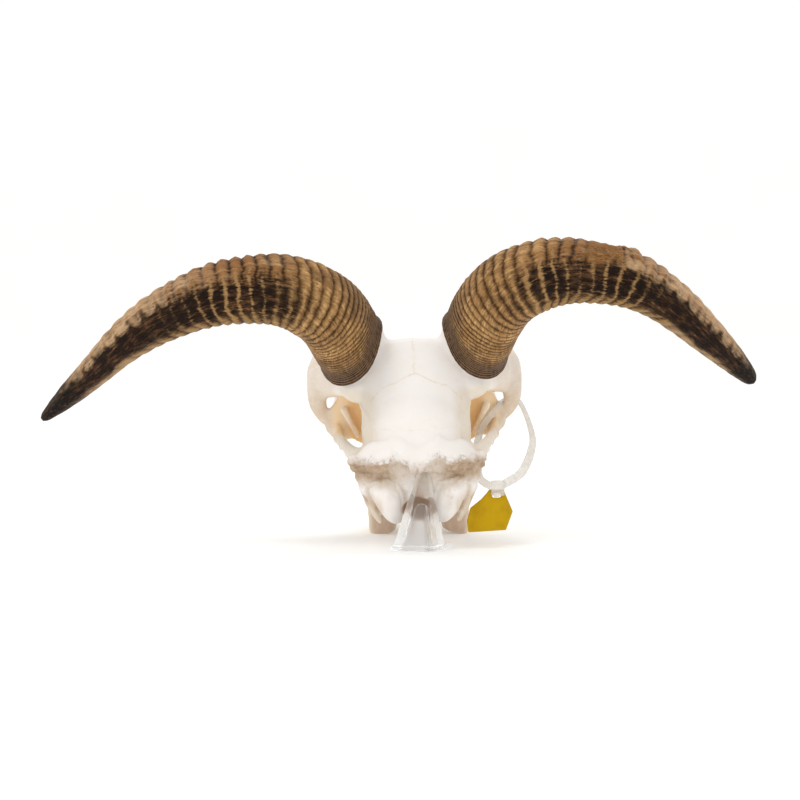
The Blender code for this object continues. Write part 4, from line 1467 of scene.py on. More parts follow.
    def rim_shapes(self) -> list[Shape]:
        """Make orbit rims, cheek arches, condyles and the other sharp parts.

        Returns:
            The shapes.
        """
        rim = self.orbit_rim()
        return [
            *both(
                sweep([*rim, *rim[:2]], up=(0.85, 0.35, 0.1), steps=10, count=20),
                sweep(self.cheek_arch),
                sweep(self.paracondylar, up=(0.3, 0.9, 0)),
                sweep(self.condyle, up=(0, -1, 0), count=32),
                sweep(self.condyle_ridge, up=(0, -1, 0), count=12),
                sweep(self.temporal_line),
                self.back_wall(),
                sweep(self.rod, up=(0, -1, 0), count=16),
                ellipsoid(*self.bulla),
                sweep(self.premaxilla_prong),
                sweep(self.nasal),
                *[ellipsoid(row[:3], row[3:], segments=20) for row in self.arch_nodules],
                ellipsoid(*self.crest_end),
            ),
            self.crest_shelf(),
            sweep(self.occipital_plate, up=(0, 1, 0.4), count=40, power=3.4),
        ]

    def hollows(self) -> list[Shape]:
        """Make the shapes that are taken out of the merged skull.

        Returns:
            The shapes.
        """
        return [
            *both(
                sweep(self.orbit_hollow, count=40),
                sweep(self.temporal_hollow, count=36),
                sweep(self.temple_gap),
            ),
            sweep(self.foramen_magnum, count=32),
            sweep(self.choanae),
            sweep(self.nasal_hollow, count=32),
            sweep(self.incisive_slot, count=20),
        ]

    def whole(self) -> Shape:
        """Model the whole skull as one body in its own frame.

        Returns:
            The skull.
        """
        core = relax(remesh(join("core", self.core_shapes()), self.core_grain), *self.core_relax)
        for hollow in self.hollows():
            boolean(core, hollow, Cut.AWAY)
        skull = remesh(join("skull", [core, *self.rim_shapes()]), self.grain)
        relax(skull, *self.skull_relax)
        spots = spots_of(skull) / MM
        reach = self.crest_reach(spots)
        above = ease(spots[:, 2] - spots[:, 1] * 0.6, 69, 72) * (1 - ease(np.abs(spots[:, 0]), 33, 37))
        relax(skull, *self.roof_relax, ease(reach, 2.5, 5) * (1 - ease(reach, 18, 26)) * above)
        boolean(skull, sweep(self.foramen_magnum, count=32), Cut.AWAY)
        self.weather(skull)
        return skull

    def crest_reach(self, spots: np.ndarray) -> np.ndarray:
        """Measure how far spots lie from the edge of the crest.

        Args:
            spots: One row for each spot, in millimetres.

        Returns:
            A distance for each spot, in millimetres.
        """
        edge = spline(self.crest_edge, 8)
        x, y, z = spots.T
        reach = np.hypot(y - np.interp(x, edge[:, 0], edge[:, 1]), z - np.interp(x, edge[:, 0], edge[:, 2]))
        return reach + np.maximum(np.abs(x) - 36.5, 0)

    def weather(self, skull: Shape) -> None:
        """Roughen the crest and the bone under it, and let the rest of the surface undulate.

        Args:
            skull: The whole skull, in its own frame.
        """
        spots, normals = spots_of(skull) / MM, normals_of(skull)
        near = np.exp(-(self.crest_reach(spots) / self.crest_wear) ** 2)
        under = self.rough_region.share(spots)
        size, height = self.waves
        lift = ripple(spots, size, 2) * height
        layers = [(near, *row) for row in self.crest_waves] + [(under * (1 - near), *self.under_waves)]
        for amount, size, height in layers:
            rough = amount > 0.03
            lift[rough] += ripple(spots[rough], size, 2) * amount[rough] * height
        for *spot, size in self.pits:
            lift -= self.pit_depth * size * np.exp(-(np.linalg.norm(spots - spot, axis=1) / size / 0.8) ** 2)
        place_spots(skull, (spots + normals * lift[:, None]) * MM)

    def block(self, outline: Sequence[Sequence[float]], low_x: float, high_x: float) -> Shape:
        """Extrude an outline of y and z across x."""
        return loft("block", [np.array([(x, y, z) for y, z in outline]) for x in (low_x, high_x)])

    def nasal_outline(self, lift: float) -> list[tuple[float, float]]:
        """Work out the outline round the nasals.

        Args:
            lift: How far it is moved into them, in millimetres.

        Returns:
            Its corners, each y and z.
        """
        ends = (self.frontal_suture + lift, self.front)
        under = [(y, self.nasal_height + self.nasal_slope * (y - self.frontal_suture) + lift) for y in ends]
        return [*under, (ends[1], self.high), (ends[0], self.high)]

    def bone(self, name: str, skull: Shape, outline: Sequence[Sequence[float]], low_x: float,
             high_x: float) -> Shape:
        """Return the part of the skull inside an extruded outline."""
        return boolean(duplicate(skull, name), self.block(outline, low_x, high_x), Cut.WITHIN)

    def part(self, skull: Shape) -> dict[str, Shape]:
        """Part the whole skull into bones with a thin gap along the sutures.

        Args:
            skull: The skull, which is removed.

        Returns:
            The bones by node name.
        """
        half = self.gap / 2
        cheek = [(y + half, z) for y, z in self.cheek_suture]
        muzzle = [(y - half, z) for y, z in reversed(self.muzzle_suture)]
        snout = [(y + half, z) for y, z in self.muzzle_suture]
        snout += [(self.front, self.high), (self.front, self.low)]
        rear = [(self.back, self.low), *[(y - half, z) for y, z in self.cheek_suture[:-1]]]
        rear += [(self.frontal_suture - half, self.high), (self.back, self.high)]
        bones = {}
        for side in Side:
            span = sorted((side.value * half, side.value * self.nasal_half_width))
            name = f"nasal_{side.label}"
            bones[name] = self.bone(name, skull, self.nasal_outline(half), *span)
        reach = self.nasal_half_width + self.gap
        boolean(skull, self.block(self.nasal_outline(-half), -reach, reach), Cut.AWAY)
        for side in Side:
            span = sorted((side.value * half, side.value * self.half_width))
            for name, outline in (("maxilla", cheek + muzzle), ("premaxilla", snout)):
                name = f"{name}_{side.label}"
                bones[name] = self.bone(name, skull, outline, *span)
        bones["cranium"] = self.bone("cranium", skull, rear, -self.half_width, self.half_width)
        bpy.data.objects.remove(skull, do_unlink=True)
        return bones

    def stains(self, bone: Shape, shelter: BVHTree, rays: int) -> None:
        """Keep on a bone how open each place is and which zones of painted shade, painted light and other
        colour it lies in.

        Args:
            bone: The bone, in the shared frame.
            shelter: The whole skull, in the shared frame.
            rays: Directions tried for the openness.
        """
        free = openness(bone, shelter, self.free_reach, rays)
        spots = self.own_spots(bone)
        side, y, z = np.abs(spots[:, 0]), spots[:, 1], spots[:, 2]
        flat = np.stack([side, y, z], 1)
        shares = {name: region.share(flat) for name, region in self.regions}
        rod = spline(self.rod, 2)[:, :3]
        from_rod = np.min(np.linalg.norm(flat[:, None] - rod[None], axis=2), 1)
        rod_share = np.exp(-(from_rod / self.rod_reach) ** 4)
        # Painted shade and light through thin bone in the temple hollows, weaker on the lit rod.
        fossa = shares["fossa"] * (1 - ease(free, 0.8, 1.0)) * (1 - rod_share * 0.75)
        # Painted shade on the outer orbit rims, stronger lower down.
        ear = shares["ear"] * (0.5 + 0.5 * (1 - ease(z, 74, 102)))
        tunnel = np.array(self.foramen_magnum)
        wide, tall = self.tunnel_radii
        from_tunnel = np.hypot(side / wide, (z - np.interp(y, tunnel[:, 1], tunnel[:, 2])) / tall)
        knuckle = spline(self.condyle, 6)
        apart = np.linalg.norm(flat[:, None] - knuckle[None, :, :3], axis=2)
        round_it = np.min(apart / np.maximum(knuckle[:, 3:].mean(1), 3.5), 1)
        # Painted shade in a ring round each condyle, folded into the painted shade under the crest.
        crease = ease(round_it, 1.04, 1.16) * (1 - ease(round_it, 1.2, 1.6)) * (1 - ease(y, 22, 28))
        under = np.maximum(shares["under"] * (0.55 + 0.45 * ease(side, 10, 20)), crease * 0.5)
        # Painted shade in the small holes.
        pit = np.zeros(len(spots))
        for *spot, size in self.pits:
            pit = np.maximum(pit, np.exp(-(np.linalg.norm(spots - spot, axis=1) / size) ** 2))
        # Grime along the crest edge; with the painted shade under the crest it makes up rugged.
        near = np.exp(-(self.crest_reach(spots) / self.crest_dirt) ** 2)
        zones = {
            "free": free,
            "rugged": np.maximum(near, under * (1 - ease(z, 66, 70)) * 0.9),
            "band": shares["band"],
            "fossa": fossa,
            "deep": fossa * shares["deep"],
            "ear": np.maximum(ear, shares["tongue"] * 0.75),
            "under": under,
            "pink": shares["pink"] * (1 - ease(from_tunnel, 1.0, 1.08)),
            "plate": shares["plate"],
            "pit": pit * 0.6,
        }
        for name, values in zones.items():
            store(bone, name, values)

    def build(self) -> None:
        """Model, part, tip and dress the skull."""
        rays = self.rays
        whole = self.whole()
        placing = self.placing()
        proxy = reduce(duplicate(whole, "proxy"), self.proxy_triangles)
        proxy.data.transform(placing)
        shelter = tree_of(proxy)
        bpy.data.objects.remove(proxy, do_unlink=True)
        bones = self.part(whole)
        finish = BoneFinish(placing)
        for name, bone in bones.items():
            bone.data.transform(placing)
            if name.startswith("maxilla"):
                boolean(bone, above_floor(), Cut.WITHIN)
            if name == "cranium":
                boolean(bone, loft("room", StandPost().rings(self.gap)), Cut.AWAY)
            keep_largest(bone)
            reduce(bone, self.most_triangles)
            self.stains(bone, shelter, rays)
            publish(bone, finish, "teeth" if name.startswith("maxilla") else "bone", name)
            bone.name = f"{name}_bone"


@dataclass
class CheekTeeth:
    """Six cheek teeth a side, three two-lobed molars at the back."""

    skull: Skull
    start: float = 88.0
    molar_length: float = 12.0
    gum: float = 27.0
    rows: Rows = (
        (21, 8.2, 21.6, -5.6), (16, 7.4, 22.6, -5.0), (13, 6.6, 22.4, -3.6),
        (9, 5.8, 21.4, -2.4), (9, 5.2, 20.0, -1.2), (7, 4.4, 18.8, 0),
    )
    slant: float = 4.2
    rib: float = 0.10
    waist: float = 0.13
    squareness: float = 3.4
    slim: float = 0.96
    count: int = 96
    levels: int = 26
    rays: int = 14
    free_reach: float = 0.008

    def tooth(self, hand: int, middle: float, length: float, half_width: float, x: float,
              foot: float) -> Shape:
        """Skin one tooth.

        Args:
            hand: Sign of x.
            middle: Its y.
            length: Its length along the row.
            half_width: Half its width.
            x: Its distance from the middle of the skull.
            foot: Height of its chewing surface.

        Returns:
            The tooth, in the skull's frame.
        """
        lobes = 2 if length > self.molar_length else 1
        flat = superellipse(1.0, 1.0, self.count, self.squareness)
        outward, forward = flat[:, 0], flat[:, 1]
        lobe = np.cos(pi * forward * lobes)
        inner = -self.waist * lobe if lobes == 2 else self.waist * lobe
        wide = outward * (1 + np.where(outward > 0, self.rib * np.abs(lobe) ** 3, inner))
        rings = []
        for level in range(self.levels + 1):
            share = level / self.levels
            z = foot + (self.gum - foot) * share
            swell = 0.9 + 0.14 * sin(pi * min(share * 1.2, 1.0))
            wobble = 0.02 * sin(share * 23 + middle)
            shift = x - 0.8 * share
            rings.append(np.stack([hand * (shift + wide * half_width * (swell + wobble)),
                                   middle + forward * length / 2 * (0.985 - 0.03 * share),
                                   z + self.slant * (1 - wide) / 2 * (1 - share)], 1))
        return loft("tooth", rings)

    def build(self) -> None:
        """Model and dress both rows."""
        for side in Side:
            y = self.start
            teeth = []
            for length, half_width, x, foot in self.rows:
                middle = y + length / 2
                teeth.append(self.tooth(side.value, middle, length, half_width * self.slim, x, foot))
                y += length
            row = join(f"cheek_teeth_{side.label}", teeth)
            row.data.transform(self.skull.placing())
            boolean(row, above_floor(), Cut.WITHIN, "EXACT")
            store(row, "free", openness(row, tree_of(row), self.free_reach, self.rays))
            y = self.skull.own_spots(row)[:, 1]
            # Where the painted shade on the rear of the last molars goes.
            store(row, "last", 1 - ease(y, self.start + 1.5, self.start + 5))
            publish(row, ToothFinish(), "teeth", angle=40)


# --- horns -----------------------------------------------------------------------------


@dataclass
class Horn:
    """One ridged horn sheath."""

    side: Side
    stations: Rows
    skull: Skull
    twist: float = radians(-28.0)
    keel: float = 0.04
    around: int = 140
    worn: Optional[tuple[float, float]] = None
    drop: float = 3.0
    notch: float = 7.0
    rim_reach: float = 30.0
    line_place: float = 0.52
    line_width: float = 0.17
    sway: Rows = ((1, 1), (2.7, 0.55), (8, 0.2), (19, 0.16))
    ring_steps: Rows = (
        (0, 0.27), (22, 0.32), (60, 0.38), (180, 0.42), (240, 0.6),
    )
    ring_spacing: Rows = (
        (0, 1.5), (10, 1.6), (18, 2.1), (30, 2.9), (45, 4.1), (70, 5.6), (100, 6.3), (130, 7.6),
        (160, 10), (250, 14),
    )
    ring_heights: Rows = (
        (0, 0.3), (10, 0.34), (20, 0.42), (40, 0.62), (60, 0.85), (85, 1.0), (125, 0.95), (150, 0.6),
        (180, 0.25), (215, 0.08), (250, 0.02),
    )

    def frames(self) -> tuple[np.ndarray, np.ndarray, np.ndarray, np.ndarray]:
        """Lay out the sections along the horn.

        Returns:
            The rows of the middle line, their distance along it, and the section's two axes.
        """
        fine = spline(self.stations, 60)
        spans = np.linalg.norm(np.diff(fine[:, :3], axis=0), axis=1)
        length = np.concatenate([[0.0], np.cumsum(spans)])
        places, steps = np.array(self.ring_steps).T
        marks = [0.0]
        while marks[-1] < length[-1] - 0.5:
            marks.append(marks[-1] + float(np.interp(marks[-1], places, steps)))
        run = np.array([*marks, length[-1]])
        rows = np.stack([np.interp(run, length, column) for column in fine.T], 1)
        sides, rises = [], []
        for index in range(len(rows)):
            ahead = rows[min(index + 4, len(rows) - 1)]
            back = rows[max(index - 4, 0)]
            along = Vector(ahead[:3] - back[:3]).normalized()
            share = run[index] / run[-1]
            turn = Matrix.Rotation(-self.side.value * self.twist * max(0.0, 1 - share * 3), 3, along)
            side = turn @ along.cross(Vector((0, 1, 0))).normalized()
            sides.append(side)
            rises.append(side.cross(along).normalized())
        return rows, run, np.array(sides), np.array(rises)

    def phases(self, run: np.ndarray, upper: np.ndarray,
               angle: np.ndarray) -> tuple[np.ndarray, np.ndarray]:
        """Work out the growth rings.

        Args:
            run: Distance of each row along the middle line, in millimetres.
            upper: Share of each point towards the outer edge, -1 to 1.
            angle: Angle of each point.

        Returns:
            The place in the ring and the ring's strength, 0 to 1, for each point of each row.
        """
        places, widths = np.array(self.ring_spacing).T
        fine = np.linspace(-20, 270, 2901)
        turns = np.cumsum(1 / np.interp(fine, places, widths)) * (fine[1] - fine[0])
        bend = ease(-upper, 0.35, 1.0)[None, :] * 5.0 * ease(run, 40, 90)[:, None]
        shift = np.empty((len(run), len(angle)))
        for row, distance in enumerate(run):
            for column in range(len(angle)):
                round_x, round_y = cos(angle[column]) * 1.6, sin(angle[column]) * 1.6
                spot = Vector((round_x, round_y, distance / 14 + self.side.value * 7))
                shift[row, column] = sum(share * noise.noise(spot * fine_by) for fine_by, share in self.sway)
        line = run[:, None] + bend + shift * (0.2 + 1.25 * ease(run, 15, 70)[:, None])
        phase = np.interp(line, fine, turns)
        power = np.sin(np.floor(phase) * 12.9898 + self.side.value) ** 2
        return phase - np.floor(phase), power

    def wear(self, run: np.ndarray, upper: np.ndarray, rear: np.ndarray) -> np.ndarray:
        """Work out where the horn is rubbed smooth, up to a crack.

        Args:
            run: Distance of each row along the middle line, in millimetres.
            upper: Share of each point towards the outer edge, -1 to 1.
            rear: Share of each point towards the rear, -1 to 1.

        Returns:
            A share for each point of each row.
        """
        if self.worn is None:
            return np.zeros((len(run), len(upper)))
        start, end = self.worn
        along = ease(run, start - 9, start + 7) * (1 - ease(run, end - 1.2, end + 0.8))
        return along[:, None] * (ease(upper, 0.1, 0.85) * ease(rear, -0.6, 0.0))[None, :]

    def rim(self, upper: np.ndarray, rear: np.ndarray) -> np.ndarray:
        """Work out how much further down than straight the sheath's rim reaches.

        Args:
            upper: Share of each point towards the outer edge, -1 to 1.
            rear: Share of each point towards the rear, -1 to 1.

        Returns:
            A distance for each point, in millimetres.
        """
        turn = np.degrees(np.arctan2(rear, upper))
        lobe = self.drop * np.maximum(np.cos(np.radians(turn - 95)), 0) ** 2
        return lobe - self.notch * np.exp(-((turn - 2) / 38) ** 2)

    def build(self) -> None:
        """Model and dress the horn."""
        rows, run, sides, rises = self.frames()
        hand = self.side.value
        angle = 2 * pi * np.arange(self.around) / self.around
        upper = hand * np.cos(angle)
        rear = -np.sin(angle)
        part, power = self.phases(run, upper, angle)
        worn = self.wear(run, upper, rear)
        ridge = 1 - np.abs(2 * part - 1) ** 2.4
        line = np.exp(-((part - self.line_place) / self.line_width) ** 2)
        places, heights = np.array(self.ring_heights).T
        height = np.interp(run, places, heights)[:, None] * (0.7 + 0.5 * ease(upper, 0.2, 0.9))[None, :]
        lift = height * ((ridge - 0.62) * (0.75 + 0.6 * power) + 0.3 * line * ease(run, 60, 90)[:, None])
        lift = lift * (1 - worn) - 0.55 * worn
        if self.worn is not None:
            end, high = self.worn[1], ease(upper, 0.1, 0.5)[None, :]
            crack = np.exp(-((run - end - 0.7) / 0.7) ** 2)[:, None] * high
            lift += 0.85 * np.exp(-((run - end - 4.6) / 3.2) ** 4)[:, None] * high - 0.7 * crack
            ridge *= 1 - crack
        radius = (rows[:, 3] + rows[:, 4]) / 2
        far = np.repeat(run[:, None], self.around, 1)
        round_x, round_y = np.cos(angle)[None], np.sin(angle)[None]
        wrap = np.stack([round_x * radius[:, None], round_y * radius[:, None], far], 2)
        lie = np.stack([np.repeat(upper[None], len(run), 0), np.repeat(rear[None], len(run), 0), far], 2)
        grain = ripple(wrap.reshape(-1, 3) * (1, 1, 0.35), 2.2, 2).reshape(lift.shape)
        lift += grain * (0.1 + 0.35 * height)
        lift += (0.9 * np.exp(-(run / 2.6) ** 2) - 0.5 * np.exp(-((run - 6) / 3.0) ** 2))[:, None]
        keel = 1 + self.keel * np.cos(3 * (angle - hand * 0.35) + pi / 2)
        deep = np.where(np.sin(angle) >= 0, rows[:, 4:5], rows[:, 5:6])
        flat_x = rows[:, 3:4] * np.cos(angle) * keel + lift * np.cos(angle)
        flat_y = deep * np.sin(angle) * keel + lift * np.sin(angle)
        spots = rows[:, None, :3] + flat_x[..., None] * sides[:, None] + flat_y[..., None] * rises[:, None]
        along = np.cross(rises[0], sides[0])
        along *= np.sign(along @ (rows[4, :3] - rows[0, :3]))
        shift = self.rim(upper, rear) * (1 - ease(run, 0, self.rim_reach))[:, None]
        spots -= shift[..., None] * along
        obj = loft(f"horn_{self.side.label}_sheath", list(spots))
        store(obj, "wrap", wrap.reshape(-1, 3))
        store(obj, "lie", lie.reshape(-1, 3))
        for name, values in (("ridge", ridge), ("line", line), ("worn", worn), ("power", power)):
            store(obj, name, values.reshape(-1))
        obj.data.transform(self.skull.placing())
        publish(obj, HornFinish(), "horn", f"horn_{self.side.label}")


# --- stand, strap and tag --------------------------------------------------------------


@dataclass
class StandPost:
    """Clear tapered post on a rounded flange, with a moulded hollow open at its foot."""

    turn: float = radians(-20.0)
    base: float = 22.5
    top: float = 6.0
    height: float = 44.0
    shift: float = -1.6
    lean: float = 2.5
    lean_back: float = -5.0
    flange_width: float = 27.0
    flange_depth: float = 33.0
    flange_thick: float = 2.8
    flange_corner: float = 4.0
    hollow_rows: Rows = (
        (25.6, 1.6, 1.5), (25.4, 3.4, 1.5), (24.8, 5.2, 1.45), (23.4, 6.6, 1.4), (1.2, 15.4, 0), (0, 16.4, 0),
    )

    def ring(self, width: float, depth: float, corner: float, height: float, shift: float) -> np.ndarray:
        """Lay out a rounded rectangle turned like the post.

        Args:
            width: Its width.
            depth: Its depth.
            corner: Radius of its corners.
            height: Its height over the floor.
            shift: Its place beside the middle of the flange.

        Returns:
            Its points, in millimetres.
        """
        spin = np.array(Matrix.Rotation(self.turn, 3, "Z"))
        middle = np.array((shift, self.lean_back * height / self.height, height))
        points = []
        for index, (sx, sy) in enumerate(((1, 1), (-1, 1), (-1, -1), (1, -1))):
            for step in range(9):
                angle = (index + step / 8) * pi / 2
                x = sx * (width / 2 - corner) + corner * cos(angle)
                y = sy * (depth / 2 - corner) + corner * sin(angle)
                points.append(spin @ np.array((x, y, 0)) + middle)
        return np.array(points)

    def rings(self, grow: float = 0.0) -> list[np.ndarray]:
        """Lay out the outside, from the foot up.

        Args:
            grow: How much larger it is on every side, in millimetres.

        Returns:
            Its rings.
        """
        wide = 2 * grow
        tip = self.shift + self.lean
        base, narrow = self.base + wide, self.top + wide
        flange = (self.flange_width + wide, self.flange_depth + wide, self.flange_corner)
        top = self.height + grow
        return [
            self.ring(*flange, 0, 0), self.ring(*flange, self.flange_thick - 0.4, 0),
            self.ring(flange[0] - 0.8, flange[1] - 0.8, flange[2] - 0.4, self.flange_thick, 0),
            self.ring(base + 1.0, base + 1.0, 1.9, self.flange_thick + 0.05, self.shift),
            self.ring(base, base, 1.6, self.flange_thick + 0.6 + grow, self.shift),
            self.ring(narrow + 0.2, narrow + 0.2, 1.0, top - 1.2, tip),
            self.ring(narrow - 0.3, narrow - 0.3, 0.9, top - 0.4, tip),
            self.ring(narrow - 1.2, narrow - 1.2, 0.6, top, tip),
        ]

    def hollow(self) -> list[np.ndarray]:
        """Lay out the moulded hollow, from its top down.

        Returns:
            Its rings.
        """
        rings = []
        for height, width, lean in self.hollow_rows:
            rings.append(self.ring(width, width, min(width * 0.45, 2.2), height, self.shift + lean))
        return rings

    def build(self) -> None:
        """Model and dress the post."""
        inner, outer = self.hollow(), self.rings()
        obj = loft("stand_post_moulding", [*inner, *outer])
        ring = np.arange(len(obj.data.vertices)) // len(outer[0])
        store(obj, "frosted", np.where(ring < len(inner), 1.0, 0.0))
        publish(obj, AcrylicFinish(), "acrylic", "stand_post", angle=35)


@dataclass
class TagStrap:
    """Flat tie looped round the right cheek arch, with its lock block and tongue."""

    skull: Skull
    width: float = 4.4
    thick: float = 1.5
    widths: tuple[float, ...] = (
        0.62, 0.62, 0.7, 0.85, 1.0, 1.12, 1.15, 1.1, 1.0, 1.0, 1.0, 1.0, 1.0, 1.0, 0.9, 0.85, 0.8, 0.75, 0.68,
    )
    flatness: float = 0.35
    lock_spot: Spot = (43.2, 16.2, 33.4)
    lock_low: Spot = (-3.8, -1.9, -4.6)
    lock_high: Spot = (3.8, 1.9, 3.9)
    lock_round: float = 0.7
    tag_slot: tuple[float, float] = (42.6, 28.6)
    tongue_half: tuple[float, float] = (1.6, 0.6)
    tongue_end: float = 22.2
    path: Rows = (
        (60.9, 84, 78), (63.9, 80, 73), (66.3, 74, 66.7), (67.7, 67, 60.2), (66.7, 60, 56.2),
        (63.8, 52, 50.9), (58.9, 42, 46.6), (51.1, 31.5, 45.2), (44.5, 25.5, 44.3), (38.6, 25.5, 46.4),
        (35.2, 30.5, 48.4), (34.6, 38, 51.5), (34.4, 46, 57), (35.2, 53, 63), (37.4, 58.5, 68.4),
        (41.2, 63, 73), (45.8, 67.8, 77.2), (50.4, 74.8, 80.0), (56.3, 82.6, 80.2),
    )

    def loop(self, steps: int = 12) -> Shape:
        """Model the closed loop.

        Args:
            steps: Rings for each span of the path.

        Returns:
            The loop.
        """
        place = np.array(self.skull.placing())
        path = spline(self.path, steps, closed=True) * MM
        path = (path @ place[:3, :3].T + place[:3, 3]) / MM
        middle = path.mean(0)
        marks = np.arange(len(path)) / steps
        widths = np.interp(marks, np.arange(len(self.widths) + 1), [*self.widths, self.widths[0]])
        rings = []
        for index, spot in enumerate(path):
            along = Vector(path[(index + 1) % len(path)] - path[index - 1]).normalized()
            outward = Vector(spot - middle)
            outward.y *= self.flatness
            wide = (outward - along * outward.dot(along)).normalized()
            thin = along.cross(wide).normalized()
            flat = superellipse(self.width / 2 * widths[index], self.thick / 2, 24, 5.0)
            rings.append(spot + flat[:, :1] * np.array(wide) + flat[:, 1:] * np.array(thin))
        return loft("tag_strap_tie", rings, closed=True)

    def build(self) -> None:
        """Model and dress the strap."""
        tie = self.loop()
        lock = Vector(self.lock_spot)
        block = slab(lock + Vector(self.lock_low), lock + Vector(self.lock_high))
        bm = copied(block)
        bmesh.ops.bevel(bm, geom=list(bm.edges), offset=self.lock_round * MM, affect="EDGES", segments=3,
                        profile=0.5, material=-1)
        put_back(bm, block)
        boolean(tie, block, Cut.ONTO, "EXACT")
        x, z = self.tag_slot
        wide, tall = self.tongue_half
        tongue = slab((x - wide, lock.y - 1, z - tall), (x + wide, self.tongue_end, z + tall))
        boolean(tie, tongue, Cut.ONTO, "EXACT")
        publish(tie, NylonFinish(), "nylon", "tag_strap", angle=35)


@dataclass
class TagPlate:
    """Flat bare tag with rounded corners and a slot."""

    plane: float = 19.2
    thick: float = 1.6
    edge: float = 0.35
    grain: float = 0.4
    slot: tuple[float, float] = (42.6, 28.6)
    slot_half: tuple[float, float] = (2.4, 1.2)
    outline: Rows = (
        (38.4, 32), (46.7, 32), (47.3, 30.4), (51.9, 19.5), (48.0, 8.9), (26.5, 7.5), (25.8, 14),
        (27.6, 21.5), (33.7, 26.4), (36.6, 29.6),
    )

    def build(self) -> None:
        """Model and dress the tag."""
        low, high = self.plane - self.thick / 2, self.plane + self.thick / 2
        rings = [np.array([(x, y, z) for x, z in self.outline]) for y in (low, high)]
        plate = loft("tag_plate_yellow", rings)
        x, z = self.slot
        wide, tall = self.slot_half
        hole = slab((x - wide, low - 5, z - tall), (x + wide, high + 5, z + tall))
        boolean(plate, hole, Cut.AWAY, "EXACT")
        bevel = plate.modifiers.new("edge", "BEVEL")
        bevel.width = self.edge * MM
        bevel.segments = 3
        bevel.limit_method = "ANGLE"
        finish_modifiers(plate)
        remesh(plate, self.grain)
        relax(plate, 0.5, 2)
        publish(plate, TagFinish(), "tag", "tag_plate")


# --- studio ----------------------------------------------------------------------------


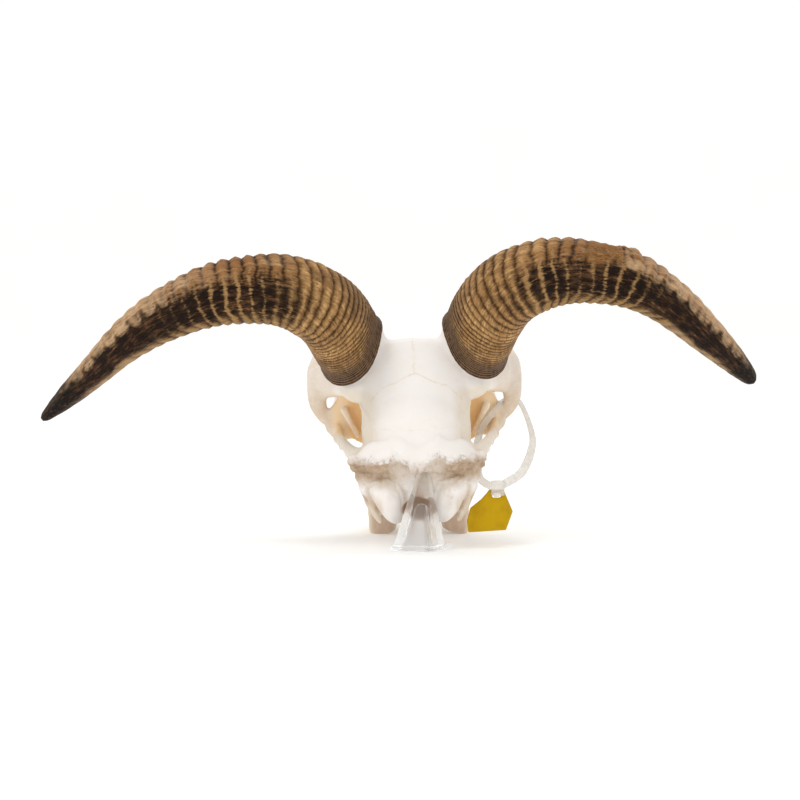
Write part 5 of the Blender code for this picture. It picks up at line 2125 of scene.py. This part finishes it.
@dataclass
class Studio:
    """Camera, soft lights and the pale sweep the skull stands on."""

    camera_spot: Spot = (-0.01225, -1.3037, 0.1337)
    camera_tilt: float = radians(2.2)
    lens: float = 105.0
    lights: tuple[tuple[str, Spot, Spot, float, float], ...] = (
        ("key", (-0.7, -0.8, 1.5), (0, 0, 0.1), 0.6, 6.0),
        ("top", (0.2, 0.5, 1.8), (0, 0, 0.1), 1.0, 4.0),
    )
    world: float = 0.86
    floor: float = 4.0
    bend: float = 1.0
    bend_steps: int = 12
    wall: float = 4.0

    def camera(self) -> None:
        """Place the camera."""
        data = bpy.data.cameras.new("camera")
        data.lens = self.lens
        data.sensor_width = 36.0
        data.clip_end = 30.0
        camera = bpy.data.objects.new("camera", data)
        camera.location = self.camera_spot
        camera.rotation_euler = (radians(90) - self.camera_tilt, 0, 0)
        bpy.context.scene.collection.objects.link(camera)
        bpy.context.scene.camera = camera

    def lamps(self) -> None:
        """Place the lights and set the world's."""
        for name, spot, aim, size, power in self.lights:
            data = bpy.data.lights.new(name, "AREA")
            data.shape = "DISK"
            data.size = size
            data.energy = power
            lamp = bpy.data.objects.new(name, data)
            lamp.location = spot
            lamp.rotation_euler = (Vector(aim) - Vector(spot)).to_track_quat("-Z", "Y").to_euler()
            bpy.context.scene.collection.objects.link(lamp)
        bpy.context.scene.view_settings.view_transform = "Standard"
        world = bpy.context.scene.world or bpy.data.worlds.new("world")
        bpy.context.scene.world = world
        world.use_nodes = True
        background = world.node_tree.nodes["Background"]
        background.inputs["Color"].default_value = (1, 1, 1, 1)
        background.inputs["Strength"].default_value = self.world

    def sweep(self) -> None:
        """Build the floor with its curved rise behind the skull."""
        bm = bmesh.new()
        bmesh.ops.create_grid(bm, x_segments=1, y_segments=1, size=self.floor)
        edge = [e for e in bm.edges if all(v.co.y > self.floor * 0.9 for v in e.verts)]
        for step in range(1, self.bend_steps + 1):
            angle = step * pi / 2 / self.bend_steps
            made = bmesh.ops.extrude_edge_only(bm, edges=edge)["geom"]
            edge = [item for item in made if isinstance(item, bmesh.types.BMEdge)
                    and all(v in made for v in item.verts)]
            for vert in {v for e in edge for v in e.verts}:
                vert.co.y = self.floor + self.bend * sin(angle)
                vert.co.z = self.bend * (1 - cos(angle))
        made = bmesh.ops.extrude_edge_only(bm, edges=edge)["geom"]
        for vert in [item for item in made if isinstance(item, bmesh.types.BMVert)]:
            vert.co.z += self.wall
        floor = add_object("studio_sweep", bm)
        floor.data.polygons.foreach_set("use_smooth", [True] * len(floor.data.polygons))
        floor.data.materials.append(FloorFinish().material())

    def build(self) -> None:
        """Set up the studio."""
        self.camera()
        self.lamps()
        self.sweep()


HORN_LEFT = (
    (-34.9, 58, 126.1, 19.8, 17.5, 28.5), (-45.1, 38, 145.9, 20.4, 18.5, 26),
    (-57, 25, 157.7, 20.2, 19, 24), (-71.9, 17.5, 164.5, 19.4, 19, 22),
    (-90.1, 14, 166.1, 18, 18.5, 20.5), (-109.1, 13, 163.9, 16.6, 17.5, 18.8),
    (-127.5, 14.5, 157.2, 14.8, 16.2, 17), (-145.4, 18, 147.8, 13, 14.4, 14.8),
    (-162.2, 23, 135.1, 10.8, 12, 12.2), (-178.1, 30, 119.9, 8.8, 9.8, 9.8),
    (-194.7, 38.5, 104.3, 6.6, 7.3, 7.3), (-209.3, 47, 90.7, 3.4, 3.7, 3.7),
    (-213, 49, 87.3, 1.6, 1.7, 1.7),
)
HORN_RIGHT = (
    (34.8, 58, 127.2, 19.8, 17.5, 28.5), (43.6, 38, 146.2, 20.4, 18.5, 26),
    (53.3, 25, 158.9, 20.2, 19, 24), (66.3, 17.5, 166.6, 19.4, 19, 22),
    (82.5, 14, 170.3, 18, 18.5, 20.5), (100.1, 13, 169.5, 16.7, 17.5, 18.8),
    (117.7, 14.5, 164.9, 15.4, 16.6, 17.2), (134, 18, 155.4, 13.4, 14.8, 15.2),
    (149, 23, 142.8, 12, 13.2, 13.4), (163.3, 30, 128.1, 10.2, 11.2, 11.2),
    (177.8, 38.5, 112.5, 7.8, 8.5, 8.5), (189.8, 47, 98.8, 4.8, 5.2, 5.2),
    (193.2, 49.2, 95.2, 2.2, 2.4, 2.4),
)


def main() -> None:
    """Build every piece."""
    logging.basicConfig(level=logging.INFO, format="%(message)s")
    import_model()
    skull = Skull()
    skull.build()
    CheekTeeth(skull).build()
    Horn(Side.LEFT, HORN_LEFT, skull).build()
    Horn(Side.RIGHT, HORN_RIGHT, skull, worn=(97, 112)).build()
    StandPost().build()
    TagStrap(skull).build()
    TagPlate().build()
    Studio().build()


if __name__ == "__main__":
    main()
